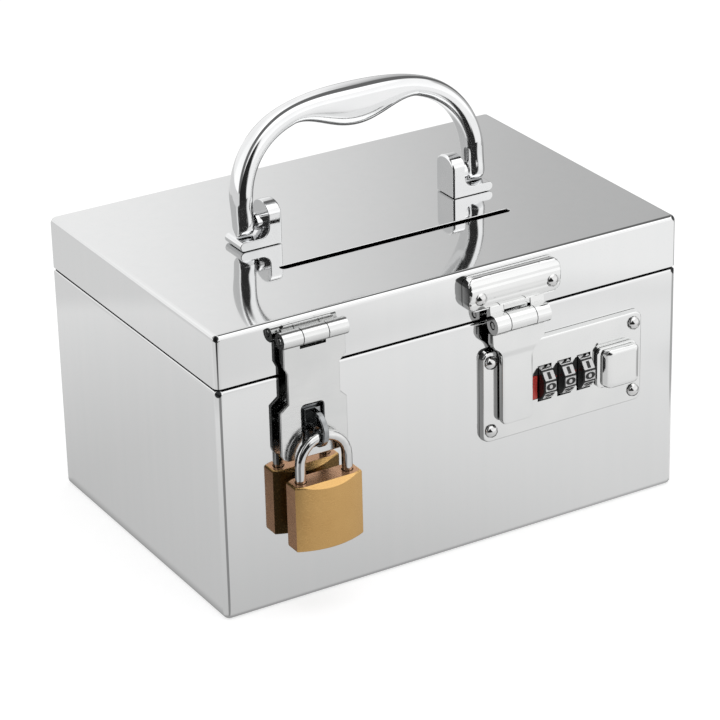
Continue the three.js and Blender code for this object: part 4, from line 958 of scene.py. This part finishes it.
bm = bmesh.new()
bm.from_mesh(frame["nodes"]["slide_button"].data)
in_front = [f for f in bm.faces if FRONT - f.calc_center_median().y / MM > STEM_END]
bmesh.ops.delete(bm, geom=in_front, context="FACES")
loft(bm, [button_ring(*ring_level) for ring_level in BUTTON_LEVELS])
button_mesh = mesh_of(bm, "fine_slide_button")
smooth_corners(button_mesh, 35, 12)
button_mesh.materials.clear()
button_mesh.materials.append(satin)
button = bpy.data.objects.new("fine_slide_button", button_mesh)
bpy.context.scene.collection.objects.link(button)
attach(button, body_of("slide_button"))
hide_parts("slide_button")
print("button faces", len(button_mesh.polygons))

# %% [markdown]
# ## Pins, rivets and shackle
# These are turned or bent from rod. They only need a touch on their edges and a light direction that
# runs round them, so no flat keeps its own. The ends of the pins of hasp and latch are rounded over.
# The leaves of the hinges at the back are stamped from the same sheet as the box, and share its finish.

# %% Pins, rivets, shackle and hinge leaves
for node in sorted(frame["nodes"]):
    if "rivet" in node or node.endswith("_pin") or "_pin_" in node or node == "padlock_shackle":
        finer(node, rod_steel, 0.5 if node in ("hasp_pin", "latch_pin") else 0.1, "pin_steel",
              turn=50, large=1e6)
for node in sorted(n for n in frame["nodes"] if n.startswith("hinge_") and "leaf" in n):
    finer(node, mirror_steel, 0.15, "polished_steel")
print("pins and rivets done")

# %% [markdown]
# ## Padlock and inner pieces
# The front and back of the padlock are linished, and its ends and sides are sawn, with a tint lifted as
# painted light. Both finishes are on one mesh, and a face takes the second where it points along the width
# or the height. The works of the lock are hidden, so they only get their plating.

# %% Padlock
padlock = finer("padlock_body", brass, 0.3, "brass", large=100)
padlock.data.materials.append(sawn_and_lightened)
# The sides and ends take the sawn finish, whose lifted tint is painted light.
lightened_side_faces = [f for f in padlock.data.polygons if abs(f.normal.z) > 0.95 or abs(f.normal.x) > 0.95]
for face in lightened_side_faces:
    face.material_index = 1
finer("padlock_plug", brass, 0.1, "brass")
print("sawn faces", len(lightened_side_faces))

# %% Inner pieces
INNER_EDGES = {"lock_catch": 0.1, "lock_back_cover": 0.1, "dial_axle": 0.1, "return_spring": 0.0}
for node, edge in INNER_EDGES.items():
    finer(node, inner_steel, edge, "inner_steel")
print("inner pieces", len(INNER_EDGES))

# %% [markdown]
# ## Dials
# Each dial is a black wheel with ten flat faces. A face carries a white printed field and a black
# number. The numbers are Blender text turned to a mesh, because letter outlines are already smooth
# curves there. They are set wide, as on such locks, and 0 stands straight ahead with 1 above it.

# %% Dial wheels
DIAL_X, DIAL_PITCH, DIAL_Y, DIAL_Z = 39.7, 9.3, -70.2, 64.7
FACE_REACH, FACE_WIDTH, FACE_HEIGHT = 7.232, 4.9, 3.8
for number in (1, 2, 3):
    finer(f"dial_{number}", black_abs, 0.12, "black_dial")
print("faces", FACE_WIDTH, "by", FACE_HEIGHT, "mm")

# %% Numbers
DIGIT_SIZE, DIGIT_WEIGHT, DIGIT_WIDE = 3.9, 0.14, 2.3


def number_mesh(digit):
    """One digit as flat faces, in millimetres, centred on the origin."""
    text = bpy.data.curves.new("digit", "FONT")
    text.body = str(digit)
    text.size = DIGIT_SIZE
    text.offset = DIGIT_WEIGHT
    text.resolution_u = 4
    holder = bpy.data.objects.new("digit", text)
    mesh = bpy.data.meshes.new_from_object(holder)
    bpy.data.objects.remove(holder)
    points = [v.co for v in mesh.vertices]
    low = Vector((min(p.x for p in points), min(p.y for p in points), 0))
    high = Vector((max(p.x for p in points), max(p.y for p in points), 0))
    middle = (low + high) / 2
    for vertex in mesh.vertices:
        vertex.co = Vector(((vertex.co.x - middle.x) * DIGIT_WIDE, vertex.co.y - middle.y, 0))
    return mesh


print("points of a 0", len(number_mesh(0).vertices))

# %% [markdown]
# A print is a thin layer of paint, so a field is a slab 0.06 mm thick with slightly smaller top, and the
# number floats 0.03 mm over it. A picture could be laid over the wheel instead, but it would need UVs
# and would blur close by.

# %% Face fields
FIELD_CORNER, PRINT_THICK, NUMBER_LIFT = 0.35, 0.06, 0.09


def dial_faces(number):
    """The ten white fields of a dial and their numbers, as one piece."""
    centre = Vector((DIAL_X + (number - 1) * DIAL_PITCH, DIAL_Y, DIAL_Z))
    bm = bmesh.new()
    for digit in range(10):
        turn = radians(36 * digit)
        across, out = Vector((1, 0, 0)), Vector((0, -cos(turn), sin(turn)))
        seat = Matrix((across, out.cross(across), out)).transposed()
        outline = field_outline(FACE_WIDTH, FACE_HEIGHT, FIELD_CORNER)
        for lift, size in ((0.0, 1.0), (PRINT_THICK, 0.98)):
            ring = [bm.verts.new((centre + seat @ Vector((x * size, y * size, FACE_REACH + lift))) * MM)
                    for x, y in outline]
            if lift:
                for i, corner_point in enumerate(ring):
                    bm.faces.new((below[i - 1], below[i], corner_point, ring[i - 1]))
                bm.faces.new(ring)
            below = ring
        glyph = number_mesh(digit)
        made = [bm.verts.new((centre + seat @ Vector((v.co.x, v.co.y, FACE_REACH + NUMBER_LIFT))) * MM)
                for v in glyph.vertices]
        for polygon in glyph.polygons:
            bm.faces.new([made[i] for i in polygon.vertices]).material_index = 1
    bm.normal_update()
    mesh = mesh_of(bm, f"dial_faces_{number}")
    mesh.materials.append(white_print)
    mesh.materials.append(black_print)
    piece = bpy.data.objects.new(mesh.name, mesh)
    bpy.context.scene.collection.objects.link(piece)
    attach(piece, body_of(f"dial_{number}"))
    return piece


for number in (1, 2, 3):
    print(dial_faces(number).name)

# %% [markdown]
# ## Index strip and red dashes
# The numbers are read at a red strip beside the first dial. A short red dash is painted on the case between
# one dial and the next.

# %% Index strip and red dashes
MARK_Y, MARK_ABOVE, MARK_WIDTH, MARK_HEIGHT = -72.7, 1.2, 2.1, 0.8
finer("index_strip", red_abs, 0.05, "red_insert")


def reading_mark(number):
    """A short red dash on the case, between one dial and the next."""
    x, z = DIAL_X + (number - 0.5) * DIAL_PITCH, DIAL_Z + MARK_ABOVE
    outline = field_outline(MARK_WIDTH, MARK_HEIGHT, 0.15, 3)
    bm = bmesh.new()
    low = [bm.verts.new(Vector((x + a, MARK_Y, z + b)) * MM) for a, b in outline]
    high = [bm.verts.new(Vector((x + 0.97 * a, MARK_Y - 0.05, z + 0.94 * b)) * MM) for a, b in outline]
    for i in range(len(low)):
        bm.faces.new((low[i - 1], low[i], high[i], high[i - 1]))
    bm.faces.new(high)
    mesh = mesh_of(bm, f"reading_mark_{number}")
    mesh.materials.append(red_print)
    piece = bpy.data.objects.new(mesh.name, mesh)
    bpy.context.scene.collection.objects.link(piece)
    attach(piece, body_of("lock_case"))
    return piece


for number in (1, 2):
    print(reading_mark(number).name)
